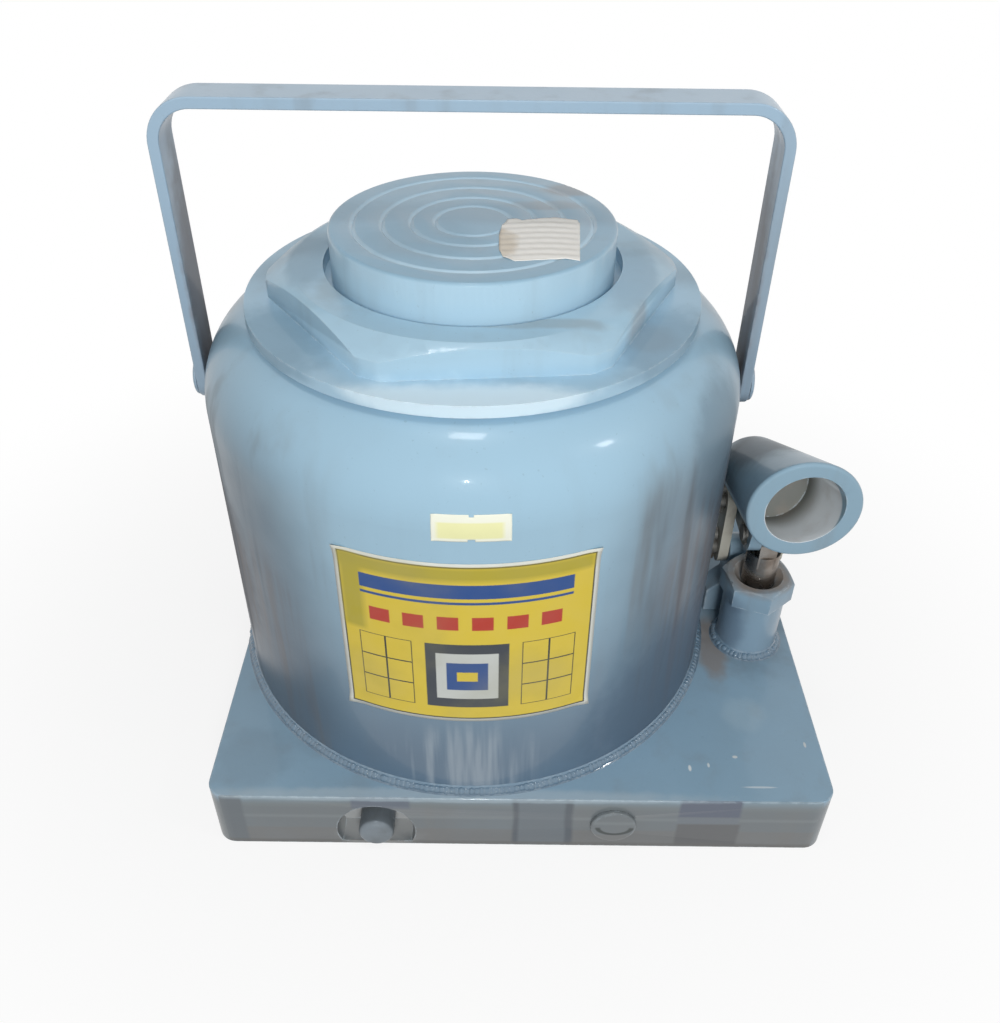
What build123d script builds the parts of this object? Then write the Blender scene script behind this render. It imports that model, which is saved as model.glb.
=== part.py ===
from build123d import *
import math
import os

# Hydraulic bottle jack with a carrying bail and a side hand pump, in millimetres.
# Z points up from the underside of the base and the ram stands on the origin.
# The front with the release valve faces -Y and the hand pump stands at +X.

os.makedirs("parts", exist_ok=True)

# Fits, as radial or face clearances
run_gap = 0.07  # a piece that slides or turns in another
seat_gap = 0.05  # a piece that is screwed or pressed into another
pass_gap = 0.3  # faces that move past each other

# Base plate
base_side_margin = 0.55
base_front_margin = 4.75
base_pump_margin = 46.75
base_height = 34.2
base_corner = 9.0
base_edge = 0.4
cylinder_seat_depth = 10.2

# Reservoir tank
tank_radius = 116.35
tank_wall = 5.0
tank_flat = 9.35
tank_height = 182.2
weld_leg = 3.4

# Pressure cylinder
bore_radius = 60.0
cylinder_wall = 12.0
cylinder_rise = 7.6
foot_seal = 1.5

# Ram
ram_radius = 55.0
piston_height = 20.0
piston_edge = 2.0
piston_seal_height = 6.0
piston_seal_depth = 6.9
guide_height = 20.0
rod_seal_height = 6.0

# Gland nut
flange_radius = 94.9
flange_thickness = 5.1
nut_height = 18.1
nut_across_flats = 152.0
nut_corner_radius = 85.0
nut_turn = 5.0
nut_flat_radius = 73.3
nut_cone_angle = 25.0
nut_bore_radius = 61.4
nut_lip = 5.0
wiper_height = 2.5
wiper_width = 3.4
top_seal_width = 4.0
top_seal_height = 1.2

# Saddle
saddle_radius = 58.33
saddle_height = 20.5
saddle_edge = 1.6
saddle_ring_radii = (15.3, 25.1, 36.7, 48.6)
saddle_ring_width = 2.4
saddle_ring_depth = 1.0
spigot_radius = 20.0
spigot_length = 24.0
snap_ring_size = 3.0

# Bail and its pivots
pivot_drop = 39.2
bail_gap = 1.15
bail_thickness = 4.5
bail_width = 19.0
bail_reach = 121.8
bail_corner = 18.0
stud_radius = 6.0
stud_collar_radius = 8.0
stud_head_radius = 8.7
stud_head_thickness = 1.6
stud_head_edge = 0.6
stud_inner_length = 3.0

# Hand pump
pump_offset = 24.65
pump_forward = 18.0
barrel_radius = 15.0
barrel_height = 31.8
barrel_seat_depth = 12.2
plunger_radius = 8.2
packing_radius = 12.0
packing_height = 6.0
gland_nose = 6.0
gland_height = 12.0
gland_across_flats = 31.3
gland_turn = 40.0
gland_flat_inset = 0.6
gland_cut_width = 5.0
gland_recess_depth = 4.0
pump_chamber_radius = 7.0
pump_chamber_depth = 12.0
plunger_foot = 2.0
pin_rise = 26.0
plunger_shoulder_drop = 10.2
plunger_neck_drop = 15.0
tongue_thickness = 8.4
tongue_radius = 8.0
tongue_sink = 2.0
tongue_neck = 15.0

# Handle socket
socket_mouth_forward = 57.0
socket_mouth_rise = 44.0
socket_mouth_radius = 24.7
socket_back_behind = 8.0
socket_back_shift = 8.5
socket_back_rise = 23.7
socket_back_radius = 15.0
socket_back_edge = 5.0
socket_mouth_edge = 1.5
handle_bore_radius = 16.6
handle_bore_depth = 36.0
cheek_thickness = 6.0
cheek_radius = 8.5
cheek_nose_radius = 3.0
cheek_nose_forward = 28.0
cheek_nose_rise = 23.0
cheek_tail_forward = 13.0
cheek_tail_rise = 24.0

# Links, fulcrum and pins
pin_radius = 4.0
link_length = 30.0
link_y = 8.0
link_radius = 8.0
link_thickness = 5.0
link_side_gap = 1.0
open_eye_radius = 4.7
post_thickness = 14.0
post_foot_width = 38.0
post_foot_height = 13.8
post_neck_rise = 8.0
pin_overhang = 3.0
split_pin_radius = 1.2
split_pin_eye = 3.4
split_pin_wire = 1.8
plunger_pin_head = 6.0
pin_head_thickness = 2.5
pin_clip_thickness = 1.0
pin_clip_depth = 0.7
pin_clip_width = 2.0

# Valves and oil galleries
gallery_drop = 8.0
gallery_radius = 2.5
gallery_spread = 6.0
gallery_plug_radius = 5.0
gallery_plug_length = 10.0
gallery_plug_socket = 5.0
suction_seat_distance = 33.0
suction_ball_radius = 3.5
valve_chamber_radius = 4.5
delivery_port_x = 24.0
delivery_seat_depth = 7.0
delivery_ball_radius = 3.0
delivery_hole_radius = 2.0
strainer_radius = 8.0
strainer_height = 10.0
strainer_wall = 1.0
strainer_hole_radius = 1.2
spring_wire = 0.5
spring_turns = 4

# Release valve
release_left = 42.5
release_z = 10.0
release_recess_radius = 17.8
release_recess_depth = 12.0
release_recess_web = 2.0
release_head_length = 15.0
release_screw_radius = 8.0
release_thread_length = 13.0
release_packing_length = 8.0
release_neck_radius = 5.0
release_tip_radius = 3.5
release_chamber_length = 16.0
release_ball_radius = 4.0
release_port_forward = 30.0
release_outlet_gap = 8.0
release_bar_hole = 2.2
release_bar_inset = 8.0
release_head_edge = 3.0

# Overload valve
overload_x = 65.0
overload_rise = 3.0
overload_seat_forward = 60.0
overload_ball_radius = 4.0
overload_chamber_radius = 6.0
overload_plug_length = 21.0
overload_cap_radius = 10.3
overload_cap_thickness = 2.2
overload_outlet_gap = 12.0

# Filler plug
filler_radius = 7.0
filler_rise = 130.0
filler_head_radius = 10.0
filler_head_thickness = 3.0
filler_stem = 9.0

# Places that follow from the sizes
base_left = tank_radius + base_side_margin
base_right = tank_radius + base_pump_margin
base_half_depth = tank_radius + base_front_margin
base_centre = (base_right - base_left) / 2
base_length = base_right + base_left
seat_floor = base_height - cylinder_seat_depth
tank_top = base_height + tank_height
tank_inside = tank_radius - tank_wall
cylinder_radius = bore_radius + cylinder_wall
shoulder_centre = cylinder_radius + tank_flat
tank_shoulder = tank_radius - shoulder_centre
shoulder_inside = tank_shoulder - tank_wall
cylinder_top = tank_top + cylinder_rise
lip_top = cylinder_top + nut_lip
nut_top = tank_top + nut_height
piston_bottom = seat_floor + pass_gap
piston_top = piston_bottom + piston_height
piston_seal_z = piston_bottom + (piston_height - piston_seal_height) / 2
rod_seal_z = cylinder_top - rod_seal_height
saddle_bottom = lip_top + pass_gap
saddle_top = saddle_bottom + saddle_height
snap_ring_z = saddle_bottom - spigot_length / 2
pivot_z = tank_top - pivot_drop
bail_inside = tank_radius + bail_gap
bail_outside = bail_inside + bail_thickness
bail_top = pivot_z + bail_reach
pump_x = tank_radius + pump_offset
pump_y = -pump_forward
barrel_bottom = base_height - barrel_seat_depth
gallery_z = barrel_bottom - gallery_drop
barrel_top = base_height + barrel_height
chamber_bottom = barrel_bottom - pump_chamber_depth
gland_top = barrel_top + gland_height
packing_bottom = barrel_top - gland_nose - packing_height
gland_corner = gland_across_flats / 2 / math.cos(math.radians(30))
pin_z = gland_top + pin_rise
link_foot_z = pin_z - link_length
cheek_inside = tongue_thickness / 2 + pass_gap
cheek_outside = cheek_inside + cheek_thickness
link_inside = cheek_outside + link_side_gap
link_outside = link_inside + link_thickness
pin_half_length = link_outside + pin_overhang
suction_port_x = (cylinder_radius + tank_inside) / 2
suction_seat_x = pump_x - suction_seat_distance
suction_y = pump_y + gallery_spread
delivery_y = pump_y - gallery_spread
delivery_seat_z = seat_floor - delivery_seat_depth
front = -base_half_depth
recess_floor = front + release_recess_depth
thread_end = recess_floor + release_thread_length
packing_end = thread_end + release_packing_length
release_seat = packing_end + release_chamber_length
release_x = -release_left
release_port_y = -release_port_forward
release_ball_y = release_seat - math.sqrt(release_ball_radius**2 - gallery_radius**2)
overload_z = gallery_z + overload_rise
overload_seat_y = -overload_seat_forward
overload_ball_y = overload_seat_y - math.sqrt(overload_ball_radius**2 - gallery_radius**2)
overload_plug_end = front + overload_plug_length

# Base plate, drilled for the cylinder, the pump and the valves
with BuildPart() as base_plate:
    with BuildSketch():
        with Locations((base_centre, 0)):
            RectangleRounded(base_length, 2 * base_half_depth, base_corner)
    extrude(amount=base_height)
    chamfer(base_plate.edges().group_by(Axis.Z)[-1], base_edge)
    with BuildSketch(Plane.XY.offset(seat_floor)):
        Circle(cylinder_radius + seat_gap)
    extrude(amount=cylinder_seat_depth, mode=Mode.SUBTRACT)
    with BuildSketch(Plane.XY.offset(barrel_bottom)):
        with Locations((pump_x, pump_y)):
            Circle(barrel_radius + seat_gap)
    extrude(amount=barrel_seat_depth, mode=Mode.SUBTRACT)
    with BuildSketch(Plane.XY.offset(chamber_bottom)):
        with Locations((pump_x, pump_y)):
            Circle(pump_chamber_radius)
    extrude(amount=pump_chamber_depth, mode=Mode.SUBTRACT)
    # Galleries along X, drilled from the right edge: start, y, radius
    for start, y, radius in (
        (suction_port_x, suction_y, gallery_radius),
        (suction_seat_x, suction_y, valve_chamber_radius),
        (delivery_port_x, delivery_y, gallery_radius),
        (base_right - gallery_plug_length, suction_y, gallery_plug_radius),
        (base_right - gallery_plug_length, delivery_y, gallery_plug_radius),
    ):
        with BuildSketch(Plane.YZ.offset(start)):
            with Locations((y, gallery_z)):
                Circle(radius)
        extrude(amount=base_right - start, mode=Mode.SUBTRACT)
    # Galleries along Y, drilled from the front face: end, x, z, radius
    for end, x, z, radius in (
        (release_port_y, release_x, release_z, gallery_radius),
        (release_seat, release_x, release_z, release_neck_radius),
        (packing_end, release_x, release_z, release_screw_radius + run_gap),
        (delivery_y, overload_x, overload_z, gallery_radius),
        (overload_seat_y, overload_x, overload_z, overload_chamber_radius),
    ):
        with BuildSketch(Plane.XZ.offset(-end)):
            with Locations((x, z)):
                Circle(radius)
        extrude(amount=end - front, mode=Mode.SUBTRACT)
    # Round pocket for the release screw, flat along the bottom
    with BuildSketch(Plane.XZ.offset(-recess_floor)):
        with Locations((release_x, release_z)):
            Circle(release_recess_radius)
        with Locations((release_x, release_recess_web - release_recess_radius)):
            Rectangle(2 * release_recess_radius, 2 * release_recess_radius, mode=Mode.SUBTRACT)
    extrude(amount=release_recess_depth, mode=Mode.SUBTRACT)
    # Upright ports: x, y, bottom, top, radius
    for x, y, bottom, top, radius in (
        (suction_port_x, suction_y, gallery_z, base_height, gallery_radius),
        (delivery_port_x, delivery_y, gallery_z, delivery_seat_z, delivery_hole_radius),
        (delivery_port_x, delivery_y, delivery_seat_z, seat_floor, valve_chamber_radius),
        (release_x, release_port_y, release_z, seat_floor, gallery_radius),
        (release_x, release_seat - release_outlet_gap, release_z, base_height, gallery_radius),
        (overload_x, overload_seat_y - overload_outlet_gap, overload_z, base_height, gallery_radius),
    ):
        with BuildSketch(Plane.XY.offset(bottom)):
            with Locations((x, y)):
                Circle(radius)
        extrude(amount=top - bottom, mode=Mode.SUBTRACT)
base_plate.part.label = "base_plate"
export_step(base_plate.part, "parts/base_plate.step")

# Reservoir tank, a drawn shell with a round shoulder
with BuildPart() as reservoir_tank:
    with BuildSketch(Plane.XZ):
        with BuildLine():
            outer_side = Line((tank_radius, base_height), (tank_radius, tank_top - tank_shoulder))
            outer_arc = CenterArc((shoulder_centre, tank_top - tank_shoulder), tank_shoulder, 0, 90)
            rim = cylinder_radius + seat_gap
            Polyline(outer_arc @ 1, (rim, tank_top), (rim, tank_top - tank_wall),
                     (shoulder_centre, tank_top - tank_wall))
            inner_arc = CenterArc((shoulder_centre, tank_top - tank_shoulder), shoulder_inside, 90, -90)
            Polyline(inner_arc @ 1, (tank_inside, base_height), (tank_radius, base_height))
        make_face()
    revolve(axis=Axis.Z)
    with BuildSketch(Plane.YZ.offset(-tank_radius)):
        with Locations((0, pivot_z)):
            Circle(stud_radius + seat_gap)
    extrude(amount=2 * tank_radius, mode=Mode.SUBTRACT)
    with BuildSketch(Plane.XZ.offset(-tank_radius)):
        with Locations((0, base_height + filler_rise)):
            Circle(filler_radius + seat_gap)
    extrude(amount=2 * tank_wall, mode=Mode.SUBTRACT)
reservoir_tank.part.label = "reservoir_tank"
export_step(reservoir_tank.part, "parts/reservoir_tank.step")

# Weld bead round the foot of the tank, kept inside the edge of the plate
with BuildPart() as tank_weld_bead:
    with BuildSketch(Plane.XZ):
        with BuildLine():
            foot = tank_radius + seat_gap
            Line((foot, base_height), (foot + weld_leg, base_height))
            ThreePointArc((foot + weld_leg, base_height),
                          (foot + 0.42 * weld_leg, base_height + 0.42 * weld_leg),
                          (foot, base_height + weld_leg))
            Line((foot, base_height + weld_leg), (foot, base_height))
        make_face()
    revolve(axis=Axis.Z)
    with BuildSketch(Plane.XY.offset(base_height)):
        with Locations((base_centre, 0)):
            RectangleRounded(base_length, 2 * base_half_depth, base_corner)
    extrude(amount=weld_leg, mode=Mode.INTERSECT)
tank_weld_bead.part.label = "tank_weld_bead"
export_step(tank_weld_bead.part, "parts/tank_weld_bead.step")

# Copper seal under the pressure cylinder
with BuildPart() as cylinder_foot_seal:
    with BuildSketch(Plane.XY.offset(seat_floor)):
        Circle(cylinder_radius)
        Circle(bore_radius + run_gap, mode=Mode.SUBTRACT)
    extrude(amount=foot_seal)
cylinder_foot_seal.part.label = "cylinder_foot_seal"
export_step(cylinder_foot_seal.part, "parts/cylinder_foot_seal.step")

# Pressure cylinder
with BuildPart() as pressure_cylinder:
    with BuildSketch(Plane.XY.offset(seat_floor + foot_seal)):
        Circle(cylinder_radius)
        Circle(bore_radius, mode=Mode.SUBTRACT)
    extrude(amount=cylinder_top - seat_floor - foot_seal)
pressure_cylinder.part.label = "pressure_cylinder"
export_step(pressure_cylinder.part, "parts/pressure_cylinder.step")

# Bronze guide ring and rod seal in the mouth of the cylinder
with BuildPart() as ram_guide_ring:
    with BuildSketch(Plane.XY.offset(rod_seal_z - guide_height)):
        Circle(bore_radius - seat_gap)
        Circle(ram_radius + run_gap, mode=Mode.SUBTRACT)
    extrude(amount=guide_height)
ram_guide_ring.part.label = "ram_guide_ring"
export_step(ram_guide_ring.part, "parts/ram_guide_ring.step")

with BuildPart() as ram_rod_seal:
    with BuildSketch(Plane.XY.offset(rod_seal_z)):
        Circle(bore_radius - seat_gap)
        Circle(ram_radius + run_gap, mode=Mode.SUBTRACT)
    extrude(amount=rod_seal_height)
ram_rod_seal.part.label = "ram_rod_seal"
export_step(ram_rod_seal.part, "parts/ram_rod_seal.step")

# Gland nut, a flange with a turned hexagon and a lip that holds the seals down
wiper_z = cylinder_top + (nut_lip - wiper_height) / 2
top_seal_radius = (cylinder_radius + flange_radius) / 2 - top_seal_width
nut_cut_radius = nut_corner_radius + flange_thickness
nut_cut_drop = (nut_cut_radius - nut_flat_radius) * math.tan(math.radians(nut_cone_angle))
with BuildPart() as gland_nut:
    with BuildSketch(Plane.XY.offset(tank_top)):
        Circle(flange_radius)
    extrude(amount=flange_thickness)
    with BuildSketch(Plane.XY.offset(tank_top + flange_thickness)):
        RegularPolygon(nut_across_flats / 2, 6, major_radius=False, rotation=nut_turn)
        Circle(nut_corner_radius, mode=Mode.INTERSECT)
    extrude(amount=nut_height - flange_thickness)
    with BuildSketch(Plane.XZ):
        with BuildLine():
            Polyline((nut_flat_radius, nut_top), (nut_flat_radius, nut_top + nut_lip),
                     (nut_cut_radius, nut_top + nut_lip), (nut_cut_radius, nut_top - nut_cut_drop),
                     close=True)
        make_face()
    revolve(axis=Axis.Z, mode=Mode.SUBTRACT)
    for bottom, top, radius in (
        (tank_top, cylinder_top, cylinder_radius + seat_gap),
        (cylinder_top, lip_top, ram_radius + pass_gap),
        (lip_top, nut_top, nut_bore_radius),
        (wiper_z, wiper_z + wiper_height, ram_radius + run_gap + wiper_width + seat_gap),
    ):
        with BuildSketch(Plane.XY.offset(bottom)):
            Circle(radius)
        extrude(amount=top - bottom, mode=Mode.SUBTRACT)
    with BuildSketch(Plane.XY.offset(tank_top)):
        Circle(top_seal_radius + top_seal_width)
        Circle(top_seal_radius, mode=Mode.SUBTRACT)
    extrude(amount=top_seal_height, mode=Mode.SUBTRACT)
gland_nut.part.label = "gland_nut"
export_step(gland_nut.part, "parts/gland_nut.step")

with BuildPart() as ram_wiper:
    with BuildSketch(Plane.XY.offset(wiper_z)):
        Circle(ram_radius + run_gap + wiper_width)
        Circle(ram_radius + run_gap, mode=Mode.SUBTRACT)
    extrude(amount=wiper_height)
ram_wiper.part.label = "ram_wiper"
export_step(ram_wiper.part, "parts/ram_wiper.step")

with BuildPart() as tank_top_seal:
    with BuildSketch(Plane.XY.offset(tank_top)):
        Circle(top_seal_radius + top_seal_width - seat_gap)
        Circle(top_seal_radius + seat_gap, mode=Mode.SUBTRACT)
    extrude(amount=top_seal_height)
tank_top_seal.part.label = "tank_top_seal"
export_step(tank_top_seal.part, "parts/tank_top_seal.step")

# Ram with its piston, bored for the saddle
snap_ring_inner = spigot_radius - snap_ring_size / 2
snap_ring_outer = spigot_radius + snap_ring_size / 2
with BuildPart() as ram_rod:
    with BuildSketch(Plane.XY.offset(piston_bottom)):
        Circle(bore_radius - run_gap)
    extrude(amount=piston_height)
    chamfer(ram_rod.edges().group_by(Axis.Z)[0], piston_edge)
    with BuildSketch(Plane.XY.offset(piston_top)):
        Circle(ram_radius)
    extrude(amount=saddle_bottom - piston_top)
    with BuildSketch(Plane.XY.offset(piston_seal_z)):
        Circle(bore_radius)
        Circle(bore_radius - piston_seal_depth, mode=Mode.SUBTRACT)
    extrude(amount=piston_seal_height, mode=Mode.SUBTRACT)
    with BuildSketch(Plane.XY.offset(saddle_bottom - spigot_length - seat_gap)):
        Circle(spigot_radius + seat_gap)
    extrude(amount=spigot_length + seat_gap, mode=Mode.SUBTRACT)
    with BuildSketch(Plane.XY.offset(snap_ring_z - seat_gap)):
        Circle(snap_ring_outer + seat_gap)
    extrude(amount=snap_ring_size + 2 * seat_gap, mode=Mode.SUBTRACT)
ram_rod.part.label = "ram_rod"
export_step(ram_rod.part, "parts/ram_rod.step")

with BuildPart() as piston_seal:
    with BuildSketch(Plane.XY.offset(piston_seal_z)):
        Circle(bore_radius - run_gap)
        Circle(bore_radius - piston_seal_depth + seat_gap, mode=Mode.SUBTRACT)
    extrude(amount=piston_seal_height)
piston_seal.part.label = "piston_seal"
export_step(piston_seal.part, "parts/piston_seal.step")

# Saddle with its turned rings, held in the ram by a spigot and a snap ring
with BuildPart() as saddle:
    with BuildSketch(Plane.XY.offset(saddle_bottom)):
        Circle(saddle_radius)
    extrude(amount=saddle_height)
    fillet(saddle.edges().group_by(Axis.Z)[-1], saddle_edge)
    with BuildSketch(Plane.XY.offset(saddle_bottom - spigot_length)):
        Circle(spigot_radius)
    extrude(amount=spigot_length)
    with BuildSketch(Plane.XZ):
        for radius in saddle_ring_radii:
            with BuildLine():
                Polyline((radius - saddle_ring_width / 2, saddle_top),
                         (radius - saddle_ring_width / 2, saddle_top + saddle_ring_depth),
                         (radius + saddle_ring_width / 2, saddle_top + saddle_ring_depth),
                         (radius + saddle_ring_width / 2, saddle_top),
                         (radius, saddle_top - saddle_ring_depth), close=True)
            make_face()
    revolve(axis=Axis.Z, mode=Mode.SUBTRACT)
    with BuildSketch(Plane.XY.offset(snap_ring_z - seat_gap)):
        Circle(spigot_radius + snap_ring_size)
        Circle(snap_ring_inner - seat_gap, mode=Mode.SUBTRACT)
    extrude(amount=snap_ring_size + 2 * seat_gap, mode=Mode.SUBTRACT)
saddle.part.label = "saddle"
export_step(saddle.part, "parts/saddle.step")

with BuildPart() as saddle_snap_ring:
    with BuildSketch(Plane.XY.offset(snap_ring_z)):
        Circle(snap_ring_outer)
        Circle(snap_ring_inner, mode=Mode.SUBTRACT)
        with Locations((spigot_radius, 0)):
            Rectangle(2 * snap_ring_size, snap_ring_size, mode=Mode.SUBTRACT)
    extrude(amount=snap_ring_size)
saddle_snap_ring.part.label = "saddle_snap_ring"
export_step(saddle_snap_ring.part, "parts/saddle_snap_ring.step")

# Bail, a flat bar bent over the saddle, with round ends on its two pivots
with BuildPart() as bail_handle:
    with BuildSketch(Plane.XZ.offset(-bail_width / 2)):
        with Locations((0, bail_top - bail_reach)):
            RectangleRounded(2 * bail_outside, 2 * bail_reach, bail_corner)
        with Locations((0, bail_top - bail_thickness - bail_reach)):
            RectangleRounded(2 * bail_inside, 2 * bail_reach, bail_corner - bail_thickness,
                             mode=Mode.SUBTRACT)
    extrude(amount=bail_width)
    with BuildSketch(Plane.YZ.offset(-bail_outside)):
        with Locations((0, pivot_z)):
            Circle(bail_width / 2)
        with Locations((0, pivot_z + bail_reach / 2)):
            Rectangle(bail_width, bail_reach)
    extrude(amount=2 * bail_outside, mode=Mode.INTERSECT)
    with BuildSketch(Plane.YZ.offset(-bail_outside)):
        with Locations((0, pivot_z)):
            Circle(stud_radius + run_gap)
    extrude(amount=2 * bail_outside, mode=Mode.SUBTRACT)
bail_handle.part.label = "bail_handle"
export_step(bail_handle.part, "parts/bail_handle.step")

# Headed studs through the tank wall, one on each side
stud_head_start = bail_outside + pass_gap
stud_head_end = stud_head_start + stud_head_thickness
with BuildPart() as bail_pivot_studs:
    for side in (-1, 1):
        with BuildSketch(Plane.XZ):
            with BuildLine():
                Polyline(
                    (side * (tank_inside - stud_inner_length), pivot_z),
                    (side * (tank_inside - stud_inner_length), pivot_z + stud_radius),
                    (side * (tank_radius + seat_gap), pivot_z + stud_radius),
                    (side * (tank_radius + seat_gap), pivot_z + stud_collar_radius),
                    (side * (bail_inside - pass_gap), pivot_z + stud_collar_radius),
                    (side * (bail_inside - pass_gap), pivot_z + stud_radius),
                    (side * stud_head_start, pivot_z + stud_radius),
                    (side * stud_head_start, pivot_z + stud_head_radius),
                    (side * (stud_head_end - stud_head_edge), pivot_z + stud_head_radius),
                    (side * stud_head_end, pivot_z + stud_head_radius - stud_head_edge),
                    (side * stud_head_end, pivot_z),
                    close=True,
                )
            make_face()
        revolve(axis=Axis((0, 0, pivot_z), (1, 0, 0)))
bail_pivot_studs.part.label = "bail_pivot_studs"
export_step(bail_pivot_studs.part, "parts/bail_pivot_studs.step")

# Pump barrel, seated in the plate
with BuildPart() as pump_barrel:
    for bottom, top, radius, mode in (
        (barrel_bottom, barrel_top, barrel_radius, Mode.ADD),
        (barrel_bottom, packing_bottom, plunger_radius + run_gap, Mode.SUBTRACT),
        (packing_bottom, barrel_top, packing_radius, Mode.SUBTRACT),
    ):
        with BuildSketch(Plane.XY.offset(bottom)):
            with Locations((pump_x, pump_y)):
                Circle(radius)
        extrude(amount=top - bottom, mode=mode)
pump_barrel.part.label = "pump_barrel"
export_step(pump_barrel.part, "parts/pump_barrel.step")

with BuildPart() as pump_weld_bead:
    with BuildSketch(Plane.XZ.offset(-pump_y)):
        with BuildLine():
            foot = pump_x + barrel_radius + seat_gap
            Line((foot, base_height), (foot + weld_leg, base_height))
            ThreePointArc((foot + weld_leg, base_height),
                          (foot + 0.42 * weld_leg, base_height + 0.42 * weld_leg),
                          (foot, base_height + weld_leg))
            Line((foot, base_height + weld_leg), (foot, base_height))
        make_face()
    revolve(axis=Axis((pump_x, pump_y, 0), (0, 0, 1)))
pump_weld_bead.part.label = "pump_weld_bead"
export_step(pump_weld_bead.part, "parts/pump_weld_bead.step")

with BuildPart() as pump_packing:
    with BuildSketch(Plane.XY.offset(packing_bottom)):
        with Locations((pump_x, pump_y)):
            Circle(packing_radius - seat_gap)
            Circle(plunger_radius + run_gap, mode=Mode.SUBTRACT)
    extrude(amount=packing_height)
pump_packing.part.label = "pump_packing"
export_step(pump_packing.part, "parts/pump_packing.step")

# Hexagonal gland that presses the packing down, with a dished top
gland_axis = Axis((pump_x, pump_y, 0), (0, 0, 1))
with BuildPart() as pump_gland:
    with BuildSketch(Plane.XY.offset(barrel_top)):
        with Locations((pump_x, pump_y)):
            RegularPolygon(gland_across_flats / 2, 6, major_radius=False, rotation=gland_turn)
    extrude(amount=gland_height)
    with BuildSketch(Plane.XY.offset(barrel_top - gland_nose)):
        with Locations((pump_x, pump_y)):
            Circle(packing_radius - seat_gap)
    extrude(amount=gland_nose)
    with BuildSketch(Plane.XZ.offset(-pump_y)):
        with BuildLine():
            flat = pump_x + gland_across_flats / 2 - gland_flat_inset
            drop = gland_cut_width * math.tan(math.radians(30))
            Polyline((flat, gland_top), (flat, gland_top + drop), (flat + gland_cut_width, gland_top + drop),
                     (flat + gland_cut_width, gland_top - drop), close=True)
        make_face()
        with BuildLine():
            Polyline((pump_x, gland_top - gland_recess_depth), (pump_x, gland_top + drop),
                     (pump_x + packing_radius, gland_top + drop), (pump_x + packing_radius, gland_top),
                     (pump_x + plunger_radius, gland_top - gland_recess_depth), close=True)
        make_face()
    revolve(axis=gland_axis, mode=Mode.SUBTRACT)
    with BuildSketch(Plane.XY.offset(barrel_top - gland_nose)):
        with Locations((pump_x, pump_y)):
            Circle(plunger_radius + run_gap)
    extrude(amount=gland_nose + gland_height, mode=Mode.SUBTRACT)
pump_gland.part.label = "pump_gland"
export_step(pump_gland.part, "parts/pump_gland.step")

# Plunger with a flat tongue and an eye for its pin
with BuildPart() as pump_plunger:
    with BuildSketch(Plane.XY.offset(barrel_bottom + plunger_foot)):
        with Locations((pump_x, pump_y)):
            Circle(plunger_radius)
    extrude(amount=pin_z - plunger_shoulder_drop - barrel_bottom - plunger_foot)
    # Room for the cheeks, cut on both sides behind the pin
    with BuildSketch(Plane.XY.offset(pin_z - plunger_neck_drop)):
        for side in (-1, 1):
            with Locations((pump_x + side * (tongue_thickness / 2 + plunger_radius), pump_y + plunger_radius)):
                Rectangle(2 * plunger_radius, 2 * plunger_radius)
    extrude(amount=plunger_neck_drop, mode=Mode.SUBTRACT)
    with BuildSketch(Plane.YZ.offset(pump_x - tongue_thickness / 2)):
        with Locations((pump_y, pin_z)):
            Circle(tongue_radius)
        with Locations((pump_y, pin_z - (plunger_neck_drop + tongue_sink) / 2)):
            Rectangle(tongue_neck, plunger_neck_drop + tongue_sink)
    extrude(amount=tongue_thickness)
    with BuildSketch(Plane.YZ.offset(pump_x - tongue_thickness)):
        with Locations((pump_y, pin_z)):
            Circle(pin_radius + seat_gap)
    extrude(amount=2 * tongue_thickness, mode=Mode.SUBTRACT)
pump_plunger.part.label = "pump_plunger"
export_step(pump_plunger.part, "parts/pump_plunger.step")

# Pin of the plunger, headed on the outside and held by a snap clip
pin_groove_x = pump_x - cheek_outside - pass_gap - pin_clip_thickness
with BuildPart() as plunger_pin:
    with BuildSketch(Plane.YZ.offset(pin_groove_x - pin_clip_thickness)):
        with Locations((pump_y, pin_z)):
            Circle(pin_radius)
    extrude(amount=2 * cheek_outside + 2 * pass_gap + 2 * pin_clip_thickness)
    with BuildSketch(Plane.YZ.offset(pump_x + cheek_outside + pass_gap)):
        with Locations((pump_y, pin_z)):
            Circle(plunger_pin_head)
    extrude(amount=pin_head_thickness)
    with BuildSketch(Plane.YZ.offset(pin_groove_x)):
        with Locations((pump_y, pin_z)):
            Circle(pin_radius + pin_clip_width)
            Circle(pin_radius - pin_clip_depth, mode=Mode.SUBTRACT)
    extrude(amount=pin_clip_thickness, mode=Mode.SUBTRACT)
plunger_pin.part.label = "plunger_pin"
export_step(plunger_pin.part, "parts/plunger_pin.step")

with BuildPart() as plunger_pin_clip:
    with BuildSketch(Plane.YZ.offset(pin_groove_x)):
        with Locations((pump_y, pin_z)):
            Circle(pin_radius + pin_clip_width)
            Circle(pin_radius - pin_clip_depth + seat_gap, mode=Mode.SUBTRACT)
        with Locations((pump_y - pin_radius, pin_z)):
            Rectangle(2 * pin_radius, pin_radius, mode=Mode.SUBTRACT)
    extrude(amount=pin_clip_thickness)
plunger_pin_clip.part.label = "plunger_pin_clip"
export_step(plunger_pin_clip.part, "parts/plunger_pin_clip.step")

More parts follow.
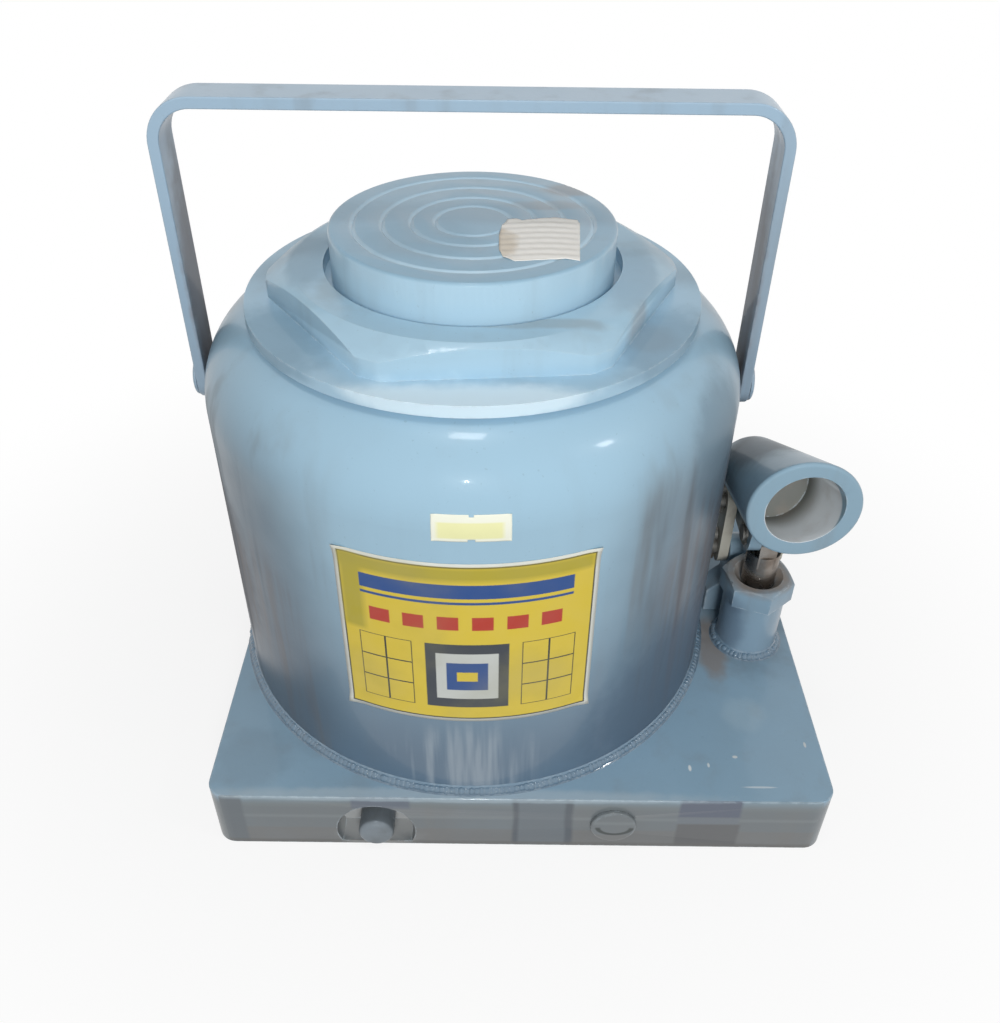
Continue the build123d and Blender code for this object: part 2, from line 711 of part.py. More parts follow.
# Handle socket, a tapered casting on two cheeks, bored along its own slope
mouth = Vector(pump_x, -socket_mouth_forward, pin_z + socket_mouth_rise)
back = Vector(pump_x - socket_back_shift, socket_back_behind, pin_z + socket_back_rise)
out_of_mouth = (mouth - back).normalized()
bore_floor = mouth - out_of_mouth * handle_bore_depth
with BuildPart() as handle_socket:
    with BuildSketch(Plane.XZ.offset(-mouth.Y)):
        with Locations((mouth.X, mouth.Z)):
            Circle(socket_mouth_radius)
    with BuildSketch(Plane.XZ.offset(-back.Y)):
        with Locations((back.X, back.Z)):
            Circle(socket_back_radius)
    loft()
    fillet(handle_socket.edges().group_by(Axis.Y)[-1], socket_back_edge)
    fillet(handle_socket.edges().group_by(Axis.Y)[0], socket_mouth_edge)
    for x in (pump_x - cheek_outside, pump_x + cheek_inside):
        with BuildSketch(Plane.YZ.offset(x)):
            with Locations((pump_y, pin_z), (link_y, pin_z)):
                Circle(cheek_radius)
            with Locations((-cheek_nose_forward, pin_z + cheek_nose_rise),
                           (-cheek_tail_forward, pin_z + cheek_tail_rise)):
                Circle(cheek_nose_radius)
            make_hull()
        extrude(amount=cheek_thickness)
    with BuildSketch(Plane(origin=bore_floor, z_dir=out_of_mouth)):
        Circle(handle_bore_radius)
    extrude(amount=2 * handle_bore_depth, mode=Mode.SUBTRACT)
    with BuildSketch(Plane.YZ.offset(pump_x - cheek_outside)):
        with Locations((pump_y, pin_z)):
            Circle(pin_radius + run_gap)
        with Locations((link_y, pin_z)):
            Circle(pin_radius + seat_gap)
    extrude(amount=2 * cheek_outside, mode=Mode.SUBTRACT)
handle_socket.part.label = "handle_socket"
export_step(handle_socket.part, "parts/handle_socket.step")

# Two link plates between the fulcrum post and the socket
with BuildPart() as link_plate_inner:
    with BuildSketch(Plane.YZ.offset(pump_x - link_outside)):
        with Locations((link_y, link_foot_z), (link_y, pin_z)):
            Circle(link_radius)
        make_hull()
        with Locations((link_y, link_foot_z)):
            Circle(pin_radius + run_gap, mode=Mode.SUBTRACT)
        with Locations((link_y, pin_z)):
            Circle(open_eye_radius, mode=Mode.SUBTRACT)
    extrude(amount=link_thickness)
link_plate_inner.part.label = "link_plate_inner"
export_step(link_plate_inner.part, "parts/link_plate_inner.step")

with BuildPart() as link_plate_outer:
    with BuildSketch(Plane.YZ.offset(pump_x + link_inside)):
        with Locations((link_y, link_foot_z), (link_y, pin_z)):
            Circle(link_radius)
        make_hull()
        with Locations((link_y, link_foot_z)):
            Circle(pin_radius + run_gap, mode=Mode.SUBTRACT)
        with Locations((link_y, pin_z)):
            Circle(open_eye_radius, mode=Mode.SUBTRACT)
    extrude(amount=link_thickness)
link_plate_outer.part.label = "link_plate_outer"
export_step(link_plate_outer.part, "parts/link_plate_outer.step")

# Fulcrum post behind the pump, with a sloped foot and a round head
post_shoulder_z = base_height + post_foot_height
with BuildPart() as fulcrum_post:
    with BuildSketch(Plane.XZ.offset(-link_y - post_thickness / 2)):
        with BuildLine():
            Polyline((pump_x - post_foot_width / 2, base_height), (pump_x + post_foot_width / 2, base_height),
                     (pump_x + post_foot_width / 2, post_shoulder_z),
                     (pump_x + cheek_outside, post_shoulder_z + post_neck_rise),
                     (pump_x + cheek_outside, link_foot_z + post_thickness / 2),
                     (pump_x - cheek_outside, link_foot_z + post_thickness / 2),
                     (pump_x - cheek_outside, post_shoulder_z + post_neck_rise),
                     (pump_x - post_foot_width / 2, post_shoulder_z), close=True)
        make_face()
    extrude(amount=post_thickness)
    with BuildSketch(Plane.YZ.offset(pump_x - post_foot_width / 2)):
        with Locations((link_y, link_foot_z)):
            Circle(post_thickness / 2)
        with Locations((link_y, (base_height + link_foot_z) / 2)):
            Rectangle(post_thickness, link_foot_z - base_height)
    extrude(amount=post_foot_width, mode=Mode.INTERSECT)
    with BuildSketch(Plane.YZ.offset(pump_x - post_foot_width / 2)):
        with Locations((link_y, link_foot_z)):
            Circle(pin_radius + seat_gap)
    extrude(amount=post_foot_width, mode=Mode.SUBTRACT)
fulcrum_post.part.label = "fulcrum_post"
export_step(fulcrum_post.part, "parts/fulcrum_post.step")

# Pins of the links, drilled for split pins at both ends
split_x = pin_half_length - pin_overhang / 2
with BuildPart() as lower_link_pin:
    with BuildSketch(Plane.YZ.offset(pump_x - pin_half_length)):
        with Locations((link_y, link_foot_z)):
            Circle(pin_radius)
    extrude(amount=2 * pin_half_length)
    with BuildSketch(Plane.XY.offset(link_foot_z - 2 * pin_radius)):
        with Locations((pump_x - split_x, link_y), (pump_x + split_x, link_y)):
            Circle(split_pin_radius + seat_gap)
    extrude(amount=4 * pin_radius, mode=Mode.SUBTRACT)
lower_link_pin.part.label = "lower_link_pin"
export_step(lower_link_pin.part, "parts/lower_link_pin.step")

with BuildPart() as upper_link_pin:
    with BuildSketch(Plane.YZ.offset(pump_x - pin_half_length)):
        with Locations((link_y, pin_z)):
            Circle(pin_radius)
    extrude(amount=2 * pin_half_length)
    with BuildSketch(Plane.XY.offset(pin_z - 2 * pin_radius)):
        with Locations((pump_x - split_x, link_y), (pump_x + split_x, link_y)):
            Circle(split_pin_radius + seat_gap)
    extrude(amount=4 * pin_radius, mode=Mode.SUBTRACT)
upper_link_pin.part.label = "upper_link_pin"
export_step(upper_link_pin.part, "parts/upper_link_pin.step")

# Split pins, each a shank with a flat ring eye
with BuildPart() as lower_split_pins:
    with BuildSketch(Plane.XY.offset(link_foot_z - 2 * pin_radius)):
        with Locations((pump_x - split_x, link_y), (pump_x + split_x, link_y)):
            Circle(split_pin_radius)
    extrude(amount=3.5 * pin_radius)
    for x in (pump_x - split_x, pump_x + split_x):
        with BuildSketch(Plane.YZ.offset(x - split_pin_wire / 2)):
            with Locations((link_y, link_foot_z + 1.5 * pin_radius + split_pin_eye - split_pin_radius)):
                Circle(split_pin_eye)
                Circle(split_pin_eye - split_pin_wire, mode=Mode.SUBTRACT)
        extrude(amount=split_pin_wire)
lower_split_pins.part.label = "lower_split_pins"
export_step(lower_split_pins.part, "parts/lower_split_pins.step")

with BuildPart() as upper_split_pins:
    with BuildSketch(Plane.XY.offset(pin_z - 2 * pin_radius)):
        with Locations((pump_x - split_x, link_y), (pump_x + split_x, link_y)):
            Circle(split_pin_radius)
    extrude(amount=3.5 * pin_radius)
    for x in (pump_x - split_x, pump_x + split_x):
        with BuildSketch(Plane.YZ.offset(x - split_pin_wire / 2)):
            with Locations((link_y, pin_z + 1.5 * pin_radius + split_pin_eye - split_pin_radius)):
                Circle(split_pin_eye)
                Circle(split_pin_eye - split_pin_wire, mode=Mode.SUBTRACT)
        extrude(amount=split_pin_wire)
upper_split_pins.part.label = "upper_split_pins"
export_step(upper_split_pins.part, "parts/upper_split_pins.step")

# Plugs that close the galleries at the right edge
with BuildPart() as gallery_plugs:
    with BuildSketch(Plane.YZ.offset(base_right - gallery_plug_length)):
        with Locations((suction_y, gallery_z), (delivery_y, gallery_z)):
            Circle(gallery_plug_radius - seat_gap)
    extrude(amount=gallery_plug_length)
    with BuildSketch(Plane.YZ.offset(base_right - gallery_plug_length / 2)):
        with Locations((suction_y, gallery_z), (delivery_y, gallery_z)):
            RegularPolygon(gallery_plug_socket / 2, 6, major_radius=False)
    extrude(amount=gallery_plug_length / 2, mode=Mode.SUBTRACT)
gallery_plugs.part.label = "gallery_plugs"
export_step(gallery_plugs.part, "parts/gallery_plugs.step")

# Suction valve: ball on its seat, and the spring between the ball and the pump
suction_ball_x = suction_seat_x + suction_ball_radius
suction_spring_start = suction_ball_x + suction_ball_radius + spring_wire
suction_spring_length = pump_x - pump_chamber_radius - suction_spring_start
suction_coil = valve_chamber_radius - spring_wire - run_gap
with BuildPart() as suction_ball:
    with Locations((suction_ball_x, suction_y, gallery_z)):
        Sphere(suction_ball_radius)
suction_ball.part.label = "suction_ball"
export_step(suction_ball.part, "parts/suction_ball.step")

with BuildPart() as suction_spring:
    with BuildLine() as coil:
        Helix(suction_spring_length / spring_turns, suction_spring_length, suction_coil,
              center=(suction_spring_start, suction_y, gallery_z), direction=(1, 0, 0))
    with BuildSketch(Plane(origin=coil.line @ 0, z_dir=coil.line % 0)):
        Rectangle(2 * spring_wire, 2 * spring_wire)
    sweep(path=coil.line, is_frenet=True)
suction_spring.part.label = "suction_spring"
export_step(suction_spring.part, "parts/suction_spring.step")

# Strainer cup over the suction port
with BuildPart() as suction_strainer:
    with BuildSketch(Plane.XY.offset(base_height)):
        with Locations((suction_port_x, suction_y)):
            Circle(strainer_radius)
    extrude(amount=strainer_height)
    with BuildSketch(Plane.XY.offset(base_height)):
        with Locations((suction_port_x, suction_y)):
            Circle(strainer_radius - strainer_wall)
    extrude(amount=strainer_height - strainer_wall, mode=Mode.SUBTRACT)
    for angle in (0, 45, 90, 135):
        aim = (math.cos(math.radians(angle)), math.sin(math.radians(angle)), 0)
        with BuildSketch(Plane((suction_port_x, suction_y, base_height + strainer_height / 2), z_dir=aim)):
            Circle(strainer_hole_radius)
        extrude(amount=2 * strainer_radius, both=True, mode=Mode.SUBTRACT)
suction_strainer.part.label = "suction_strainer"
export_step(suction_strainer.part, "parts/suction_strainer.step")

# Delivery ball under the ram
delivery_drop = math.sqrt(delivery_ball_radius**2 - delivery_hole_radius**2)
with BuildPart() as delivery_ball:
    with Locations((delivery_port_x, delivery_y, delivery_seat_z + delivery_drop + seat_gap)):
        Sphere(delivery_ball_radius)
delivery_ball.part.label = "delivery_ball"
export_step(delivery_ball.part, "parts/delivery_ball.step")

# Release valve: ball, packing and the screw that holds the ball shut
with BuildPart() as release_ball:
    with Locations((release_x, release_ball_y - seat_gap, release_z)):
        Sphere(release_ball_radius)
release_ball.part.label = "release_ball"
export_step(release_ball.part, "parts/release_ball.step")

with BuildPart() as release_packing:
    with BuildSketch(Plane.XZ.offset(-packing_end)):
        with Locations((release_x, release_z)):
            Circle(release_screw_radius)
            Circle(release_neck_radius - pass_gap + run_gap, mode=Mode.SUBTRACT)
    extrude(amount=release_packing_length - pass_gap)
release_packing.part.label = "release_packing"
export_step(release_packing.part, "parts/release_packing.step")

release_tip_y = release_ball_y - release_ball_radius - 2 * seat_gap
release_head_y = recess_floor - release_head_length
release_neck = release_neck_radius - pass_gap
with BuildPart() as release_screw:
    with BuildSketch(Plane.XY.offset(release_z)):
        with BuildLine():
            Polyline(
                (release_x, release_tip_y),
                (release_x + release_tip_radius, release_tip_y),
                (release_x + release_tip_radius, packing_end),
                (release_x + release_neck, packing_end),
                (release_x + release_neck, thread_end),
                (release_x + release_screw_radius, thread_end),
                (release_x + release_screw_radius, release_head_y),
                (release_x, release_head_y),
                close=True,
            )
        make_face()
    revolve(axis=Axis((release_x, 0, release_z), (0, 1, 0)))
    fillet(release_screw.edges().group_by(Axis.Y)[0], release_head_edge)
    with BuildSketch(Plane.YZ.offset(release_x - release_screw_radius)):
        with Locations((release_head_y + release_bar_inset, release_z)):
            Circle(release_bar_hole)
    extrude(amount=2 * release_screw_radius, mode=Mode.SUBTRACT)
release_screw.part.label = "release_screw"
export_step(release_screw.part, "parts/release_screw.step")

# Overload valve: ball, spring and the capped plug on the front face
with BuildPart() as overload_ball:
    with Locations((overload_x, overload_ball_y - seat_gap, overload_z)):
        Sphere(overload_ball_radius)
overload_ball.part.label = "overload_ball"
export_step(overload_ball.part, "parts/overload_ball.step")

overload_spring_end = overload_ball_y - overload_ball_radius - spring_wire - seat_gap
overload_spring_length = overload_spring_end - overload_plug_end - spring_wire
with BuildPart() as overload_spring:
    with BuildLine() as coil:
        Helix(overload_spring_length / spring_turns, overload_spring_length,
              overload_chamber_radius - spring_wire - run_gap,
              center=(overload_x, overload_spring_end, overload_z), direction=(0, -1, 0))
    with BuildSketch(Plane(origin=coil.line @ 0, z_dir=coil.line % 0)):
        Rectangle(2 * spring_wire, 2 * spring_wire)
    sweep(path=coil.line, is_frenet=True)
overload_spring.part.label = "overload_spring"
export_step(overload_spring.part, "parts/overload_spring.step")

with BuildPart() as overload_plug:
    with BuildSketch(Plane.XZ.offset(-overload_plug_end)):
        with Locations((overload_x, overload_z)):
            Circle(overload_chamber_radius - seat_gap)
    extrude(amount=overload_plug_length)
    with BuildSketch(Plane.XZ.offset(-front)):
        with Locations((overload_x, overload_z)):
            Circle(overload_cap_radius)
    extrude(amount=overload_cap_thickness)
    fillet(overload_plug.edges().group_by(Axis.Y)[0], overload_cap_thickness / 2)
overload_plug.part.label = "overload_plug"
export_step(overload_plug.part, "parts/overload_plug.step")

# Rubber filler plug at the back of the tank
with BuildPart() as filler_plug:
    with BuildSketch(Plane.XZ.offset(-tank_radius - seat_gap)):
        with Locations((0, base_height + filler_rise)):
            Circle(filler_radius)
    extrude(amount=filler_stem)
    with BuildSketch(Plane.XZ.offset(-tank_radius - seat_gap)):
        with Locations((0, base_height + filler_rise)):
            Circle(filler_head_radius)
    extrude(amount=-filler_head_thickness)
    fillet(filler_plug.edges().group_by(Axis.Y)[-1], filler_head_thickness / 3)
filler_plug.part.label = "filler_plug"
export_step(filler_plug.part, "parts/filler_plug.step")
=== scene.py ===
# %% [markdown]
# # A hydraulic bottle jack with a carrying bail and a hand pump
# The solids of this jack come ready from CAD. Blender adds what paint, weld, grease and years in a workshop
# put on top of them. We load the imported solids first, because every later step measures itself against them.
# All lengths are in metres, Z points up from the underside of the plate and the front faces -Y.

# %% Load the jack
import math

import bmesh
import bpy
from mathutils import Matrix, Vector


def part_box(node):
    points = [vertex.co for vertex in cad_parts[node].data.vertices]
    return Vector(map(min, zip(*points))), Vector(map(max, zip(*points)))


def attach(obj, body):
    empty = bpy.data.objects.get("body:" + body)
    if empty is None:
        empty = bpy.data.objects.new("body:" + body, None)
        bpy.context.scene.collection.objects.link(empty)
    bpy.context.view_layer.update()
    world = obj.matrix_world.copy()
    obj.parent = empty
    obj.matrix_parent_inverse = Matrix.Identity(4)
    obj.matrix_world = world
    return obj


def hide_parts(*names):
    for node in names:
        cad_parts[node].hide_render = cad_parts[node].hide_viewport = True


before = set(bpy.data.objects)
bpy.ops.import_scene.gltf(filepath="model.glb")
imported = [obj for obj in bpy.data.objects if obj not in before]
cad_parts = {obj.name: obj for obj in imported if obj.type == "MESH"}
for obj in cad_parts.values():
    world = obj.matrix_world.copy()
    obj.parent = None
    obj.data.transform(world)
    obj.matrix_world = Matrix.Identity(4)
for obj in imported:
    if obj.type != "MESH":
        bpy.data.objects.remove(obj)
scene = bpy.context.scene
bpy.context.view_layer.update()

# %% [markdown]
# ## The heights and faces that everything refers to
# Dirt, chips, painted shade and painted highlights lie on faces of the jack, so their places are given from
# those faces. The faces are read off the imported solids. Only the flange under the nut's hexagon has no box of
# its own, and its height is written.

# %% Faces of the jack
plate_low, plate_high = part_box("base_plate")
tank_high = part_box("reservoir_tank")[1]
PLATE_TOP = plate_high.z
NUT_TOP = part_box("gland_nut")[1].z
HEAD_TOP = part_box("saddle")[1].z
FLANGE_TOP = 0.2215
JUST_BEHIND_FRONT = plate_low.y + 0.0006
print("plate", PLATE_TOP, "nut", NUT_TOP, "ram head", HEAD_TOP)

# %% [markdown]
# ## Words for building node trees
# A painted surface is a chain of small nodes. Written out one by one they hide the idea, so a few short
# helpers add a node, set its sockets and join it. Each gives back the socket that the next step needs.

# %% Helpers for node trees
NUMBER, TINT, PLACE = "NodeSocketFloat", "NodeSocketColor", "NodeSocketVector"


def put(tree, kind, sockets=None, **settings):
    node = tree.nodes.new(kind)
    for name, value in settings.items():
        setattr(node, name, value)
    for name, value in (sockets or {}).items():
        if isinstance(value, bpy.types.NodeSocket):
            tree.links.new(value, node.inputs[name])
        else:
            node.inputs[name].default_value = value
    return node


def use(tree, group_tree, sockets):
    return put(tree, "ShaderNodeGroup", sockets, node_tree=group_tree).outputs


def maths(tree, operation, first, second=0.0, clamp=False):
    settings = {"operation": operation, "use_clamp": clamp}
    return put(tree, "ShaderNodeMath", {0: first, 1: second}, **settings).outputs[0]


def times(tree, first, *others):
    for other in others:
        first = maths(tree, "MULTIPLY", first, other)
    return first


def vector(tree, operation, first, second=None):
    """Length and dot product give a number, the other operations give a vector."""
    sockets = {0: first} if second is None else {0: first, 1: second}
    answer = "Value" if operation in ("LENGTH", "DOT_PRODUCT") else "Vector"
    return put(tree, "ShaderNodeVectorMath", sockets, operation=operation).outputs[answer]


def axes(tree, place):
    return put(tree, "ShaderNodeSeparateXYZ", {0: place}).outputs


def spread(tree, value, start, end, low=0.0, high=1.0, smooth=True):
    kind = "SMOOTHSTEP" if smooth else "LINEAR"
    sockets = {"Value": value, "From Min": start, "From Max": end, "To Min": low, "To Max": high}
    return put(tree, "ShaderNodeMapRange", sockets, interpolation_type=kind).outputs[0]


def lay(tree, mask, under, over):
    return put(tree, "ShaderNodeMix", {0: mask, 6: under, 7: over}, data_type="RGBA").outputs[2]


def cloud(tree, place, scale=1.0, detail=3.0, stretch=None):
    if stretch:
        place = put(tree, "ShaderNodeMapping", {"Vector": place, "Scale": stretch}).outputs[0]
    sockets = {"Vector": place, "Scale": scale, "Detail": detail}
    return put(tree, "ShaderNodeTexNoise", sockets).outputs["Fac"]


def swing(tree, noise, amount):
    """Noise from 0 to 1 turned into a swing to both sides of zero."""
    return times(tree, maths(tree, "SUBTRACT", noise, 0.5), amount)


def bump(tree, height, strength, distance):
    sockets = {"Height": height, "Strength": strength, "Distance": distance}
    return put(tree, "ShaderNodeBump", sockets).outputs[0]


def colour(red, green, blue):
    """A colour written from 0 to 255, as the light values that Blender works with."""
    values = [v / 255 for v in (red, green, blue)]
    return tuple(v / 12.92 if v <= 0.04045 else ((v + 0.055) / 1.055) ** 2.4 for v in values) + (1.0,)


def group(name, inputs, outputs):
    """An empty shader group with named sockets. Gives the tree, its input sockets and its output sockets."""
    tree = bpy.data.node_groups.new(name, "ShaderNodeTree")
    for label, (kind, value) in inputs.items():
        socket = tree.interface.new_socket(label, in_out="INPUT", socket_type=kind)
        if value is not None:
            socket.default_value = value
    for label, kind in outputs.items():
        tree.interface.new_socket(label, in_out="OUTPUT", socket_type=kind)
    return tree, tree.nodes.new("NodeGroupInput").outputs, tree.nodes.new("NodeGroupOutput").inputs


def new_material(name):
    """A material with its tree, the place on the object and the main shader's sockets."""
    material = bpy.data.materials.new(name)
    material.use_nodes = True
    tree = material.node_tree
    place = put(tree, "ShaderNodeTexCoord").outputs["Object"]
    return material, tree, place, tree.nodes["Principled BSDF"].inputs


print("helpers ready")

# %% [markdown]
# ## The coat of enamel
# The jack was dipped or sprayed in one blue-grey enamel. Real enamel is never one colour: it has clouds of
# tone, runs, specks and the fine waves called orange peel. The coat also turns from one tone below a height to
# another above it. On the tank this is painted shade, darker towards the bottom. On the ram head it is a
# painted shaded top above a painted lit side. One group makes this coat for every painted piece, so that all
# look as if from one tin.

# %% Group for the coat
coat_tree, given, made = group("Enamel coat", {
    "Place": (PLACE, None), "Light": (TINT, (1, 1, 1, 1)), "Dark": (TINT, (0, 0, 0, 1)),
    "Low": (NUMBER, 0.0), "High": (NUMBER, 0.2), "Cloud": (NUMBER, 0.3), "Streak": (NUMBER, 0.2),
    "Gloss": (NUMBER, 0.25),
}, {"Color": TINT, "Roughness": NUMBER, "Height": NUMBER})
rise = spread(coat_tree, axes(coat_tree, given["Place"])["Z"], given["Low"], given["High"])
soft = swing(coat_tree, cloud(coat_tree, given["Place"], scale=14, detail=4), given["Cloud"])
rise = maths(coat_tree, "ADD", rise, soft, clamp=True)
shade = lay(coat_tree, rise, given["Dark"], given["Light"])
runs = spread(coat_tree, cloud(coat_tree, given["Place"], stretch=(70, 70, 7)), 0.5, 0.75)
runs = maths(coat_tree, "MULTIPLY", runs, given["Streak"], clamp=True)
shade = lay(coat_tree, runs, shade, colour(122, 118, 112))
specks = spread(coat_tree, cloud(coat_tree, given["Place"], scale=620, detail=2), 0.68, 0.78, high=0.16)
shade = lay(coat_tree, specks, shade, colour(96, 104, 110))
dull = times(coat_tree, cloud(coat_tree, given["Place"], scale=36, detail=4), 0.22)
rough = maths(coat_tree, "ADD", dull, given["Gloss"])
rough = maths(coat_tree, "ADD", rough, times(coat_tree, runs, 0.3))
peel = cloud(coat_tree, given["Place"], scale=330, detail=2)
coat_tree.links.new(shade, made["Color"])
coat_tree.links.new(rough, made["Roughness"])
coat_tree.links.new(peel, made["Height"])
print("coat group", len(coat_tree.nodes), "nodes")

# %% [markdown]
# ## Worn edges and smudges
# Knocks take the paint off the edges first. The Bevel node gives the normal that a rounded edge would have,
# and where it differs from the real normal there is an edge, on any mesh and without painting a mask by hand.
# Grease and rust sit in places that can be named by a point and a size, so a smudge is a soft ball with a
# ragged rim, and the same ball places painted shade and painted highlights. A printed box is what lies between
# two values of U and two of V, and a round hole is what lies near an axis, from its mouth to its length.

# %% Group for worn edges
edge_tree, given, made = group("Worn edge", {
    "Place": (PLACE, None), "Width": (NUMBER, 0.001), "Amount": (NUMBER, 0.5),
}, {"Mask": NUMBER})
rounded = put(edge_tree, "ShaderNodeBevel", {"Radius": given["Width"]}, samples=4).outputs[0]
real = put(edge_tree, "ShaderNodeNewGeometry").outputs["Normal"]
bend = spread(edge_tree, vector(edge_tree, "DOT_PRODUCT", rounded, real), 0.995, 0.9)
ragged = spread(edge_tree, cloud(edge_tree, given["Place"], scale=240, detail=5), 0.42, 0.6)
worn = maths(edge_tree, "MULTIPLY", times(edge_tree, bend, ragged), given["Amount"], clamp=True)
edge_tree.links.new(worn, made["Mask"])
print("edge group", len(edge_tree.nodes), "nodes")

# %% Group for smudges
smudge_tree, given, made = group("Smudge", {
    "Place": (PLACE, None), "Centre": (PLACE, None), "Size": (PLACE, (0.01, 0.01, 0.01)),
    "Ragged": (NUMBER, 0.5), "Grain": (NUMBER, 120.0),
}, {"Mask": NUMBER})
offset = vector(smudge_tree, "SUBTRACT", given["Place"], given["Centre"])
away = vector(smudge_tree, "LENGTH", vector(smudge_tree, "DIVIDE", offset, given["Size"]))
noise = cloud(smudge_tree, given["Place"], scale=given["Grain"], detail=5)
away = maths(smudge_tree, "ADD", away, swing(smudge_tree, noise, given["Ragged"]))
smudge_tree.links.new(spread(smudge_tree, away, 1.1, 0.55), made["Mask"])
print("smudge group", len(smudge_tree.nodes), "nodes")

# %% Group for printed boxes
print_tree, given, made = group("Printed box", {
    "U": (NUMBER, 0.0), "V": (NUMBER, 0.0), "Left": (NUMBER, 0.0), "Right": (NUMBER, 1.0),
    "Bottom": (NUMBER, 0.0), "Top": (NUMBER, 1.0), "Blur": (NUMBER, 0.004),
}, {"Mask": NUMBER})
inside = []
for value, limit, turned in (("U", "Left", 1), ("U", "Right", -1), ("V", "Bottom", 1), ("V", "Top", -1)):
    distance = times(print_tree, maths(print_tree, "SUBTRACT", given[value], given[limit]), float(turned))
    distance = maths(print_tree, "DIVIDE", distance, given["Blur"])
    inside.append(maths(print_tree, "ADD", distance, 0.5, clamp=True))
across, upward = times(print_tree, *inside[:2]), times(print_tree, *inside[2:])
print_tree.links.new(times(print_tree, across, upward), made["Mask"])
print("print group", len(print_tree.nodes), "nodes")

# %% Group for a round hole
hole_tree, given, made = group("Round hole", {
    "Place": (PLACE, None), "Mouth": (PLACE, None), "Axis": (PLACE, (0, 0, 1)),
    "Radius": (NUMBER, 0.01), "Length": (NUMBER, 0.01),
}, {"Inside": NUMBER, "Depth": NUMBER})
offset = vector(hole_tree, "SUBTRACT", given["Place"], given["Mouth"])
depth = vector(hole_tree, "DOT_PRODUCT", offset, given["Axis"])
along = put(hole_tree, "ShaderNodeVectorMath", {0: given["Axis"], "Scale": depth},
            operation="SCALE").outputs["Vector"]
aside = vector(hole_tree, "LENGTH", vector(hole_tree, "SUBTRACT", offset, along))
within = maths(hole_tree, "LESS_THAN", aside, given["Radius"])
begun = spread(hole_tree, depth, 0.0004, 0.002)
ended = maths(hole_tree, "LESS_THAN", depth, given["Length"])
hole_tree.links.new(times(hole_tree, within, begun, ended), made["Inside"])
hole_tree.links.new(depth, made["Depth"])
print("hole group", len(hole_tree.nodes), "nodes")

# %% [markdown]
# ## Layers of dirt, wear and painted shade
# What lies on the enamel is laid on in order: dirt and painted shade on the sides of the tank, tone on the
# front face of the plate, painted highlights along the turned rings, a painted shadow under the capped plug,
# streaks that ran down, the lining of a bore with painted shade deep in it, stains with painted shade and
# highlights among them, and last the edges that were knocked bare. Most layers are functions that take the
# shade so far and give back the new one. The dirt and side shade is a mask, because the dirt also fades the
# gloss.

# %% Dirt and side shade, patches, ring highlights and the plug's shadow


def grime_and_side_shade(tree, place, start, worst):
    """A mask of dirt and painted shade on the sides: from start to worst away from the middle along X, below
    the shoulder.
    """
    clean_unshaded_above, shaded_grimy_below = 0.22, 0.165
    spot = axes(tree, place)
    waver = swing(tree, cloud(tree, place, scale=18, detail=3), 0.03)
    beside = maths(tree, "ADD", maths(tree, "ABSOLUTE", spot["X"]), waver)
    below = spread(tree, spot["Z"], clean_unshaded_above, shaded_grimy_below)
    return times(tree, spread(tree, beside, start, worst), below)


def on_front(tree, place):
    return maths(tree, "LESS_THAN", axes(tree, place)["Y"], JUST_BEHIND_FRONT)


def patches(tree, place, shade, boxes):
    """Patches on the front face: left, right, bottom, top in X and Z, tint, strength."""
    spot = axes(tree, place)
    wobble = swing(tree, cloud(tree, place, scale=60, detail=4), 0.002)
    across = maths(tree, "ADD", spot["X"], wobble)
    front = on_front(tree, place)
    for left, right, bottom, top, tint, strength in boxes:
        mask = use(tree, print_tree, {"U": across, "V": spot["Z"], "Left": left, "Right": right,
                                      "Bottom": bottom, "Top": top, "Blur": 0.0015})["Mask"]
        shade = lay(tree, times(tree, mask, front, strength), shade, colour(*tint))
    return shade


def turned_ring_highlights(tree, place, shade, radii):
    """Lighter lines along the turned grooves around Z: a painted highlight on the groove edges."""
    from_axis = vector(tree, "LENGTH", vector(tree, "MULTIPLY", place, (1, 1, 0)))
    for radius in radii:
        away = maths(tree, "ABSOLUTE", maths(tree, "SUBTRACT", from_axis, radius))
        shade = lay(tree, spread(tree, away, 0.0016, 0.0006, high=0.75), shade, colour(184, 208, 222))
    return shade


def painted_rim_shadow(tree, place, shade, x, z, radius, squeeze, half_width, tint):
    """A painted shadow on the front face: the lower half of a flattened ring under the capped plug's rim."""
    soft_end = 0.0012
    offset = vector(tree, "SUBTRACT", place, (x, 0, z))
    offset = vector(tree, "MULTIPLY", offset, (1, 0, squeeze))
    away = maths(tree, "SUBTRACT", vector(tree, "LENGTH", offset), radius)
    line = spread(tree, maths(tree, "ABSOLUTE", away), half_width * 1.4, half_width * 0.5)
    lower = spread(tree, axes(tree, offset)["Z"], soft_end, -soft_end)
    mask = times(tree, line, lower, on_front(tree, place))
    return lay(tree, mask, shade, colour(*tint))


print("front and side layers ready")

# %% Streaks, stains with painted shade and highlights, and the lining of a bore


def streaks(tree, place, shade, spots):
    """Upright streaks inside a soft ball: centre, size, tint, strength."""
    for centre, size, tint, strength in spots:
        mask = use(tree, smudge_tree, {"Place": place, "Centre": centre, "Size": size,
                                       "Ragged": 0.3})["Mask"]
        strips = spread(tree, cloud(tree, place, stretch=(150, 150, 9)), 0.42, 0.62)
        shade = lay(tree, times(tree, mask, strips, strength), shade, colour(*tint))
    return shade


def smears_and_painted_light(tree, place, shade, rough, spots):
    """Stains, painted shade and painted highlights, each of which also dulls the gloss: centre, size, tint,
    strength.
    """
    for centre, size, tint, strength in spots:
        mask = use(tree, smudge_tree, {"Place": place, "Centre": centre, "Size": size})["Mask"]
        mask = times(tree, mask, strength)
        shade = lay(tree, mask, shade, colour(*tint))
        rough = maths(tree, "ADD", rough, times(tree, mask, 0.35), clamp=True)
    return shade, rough


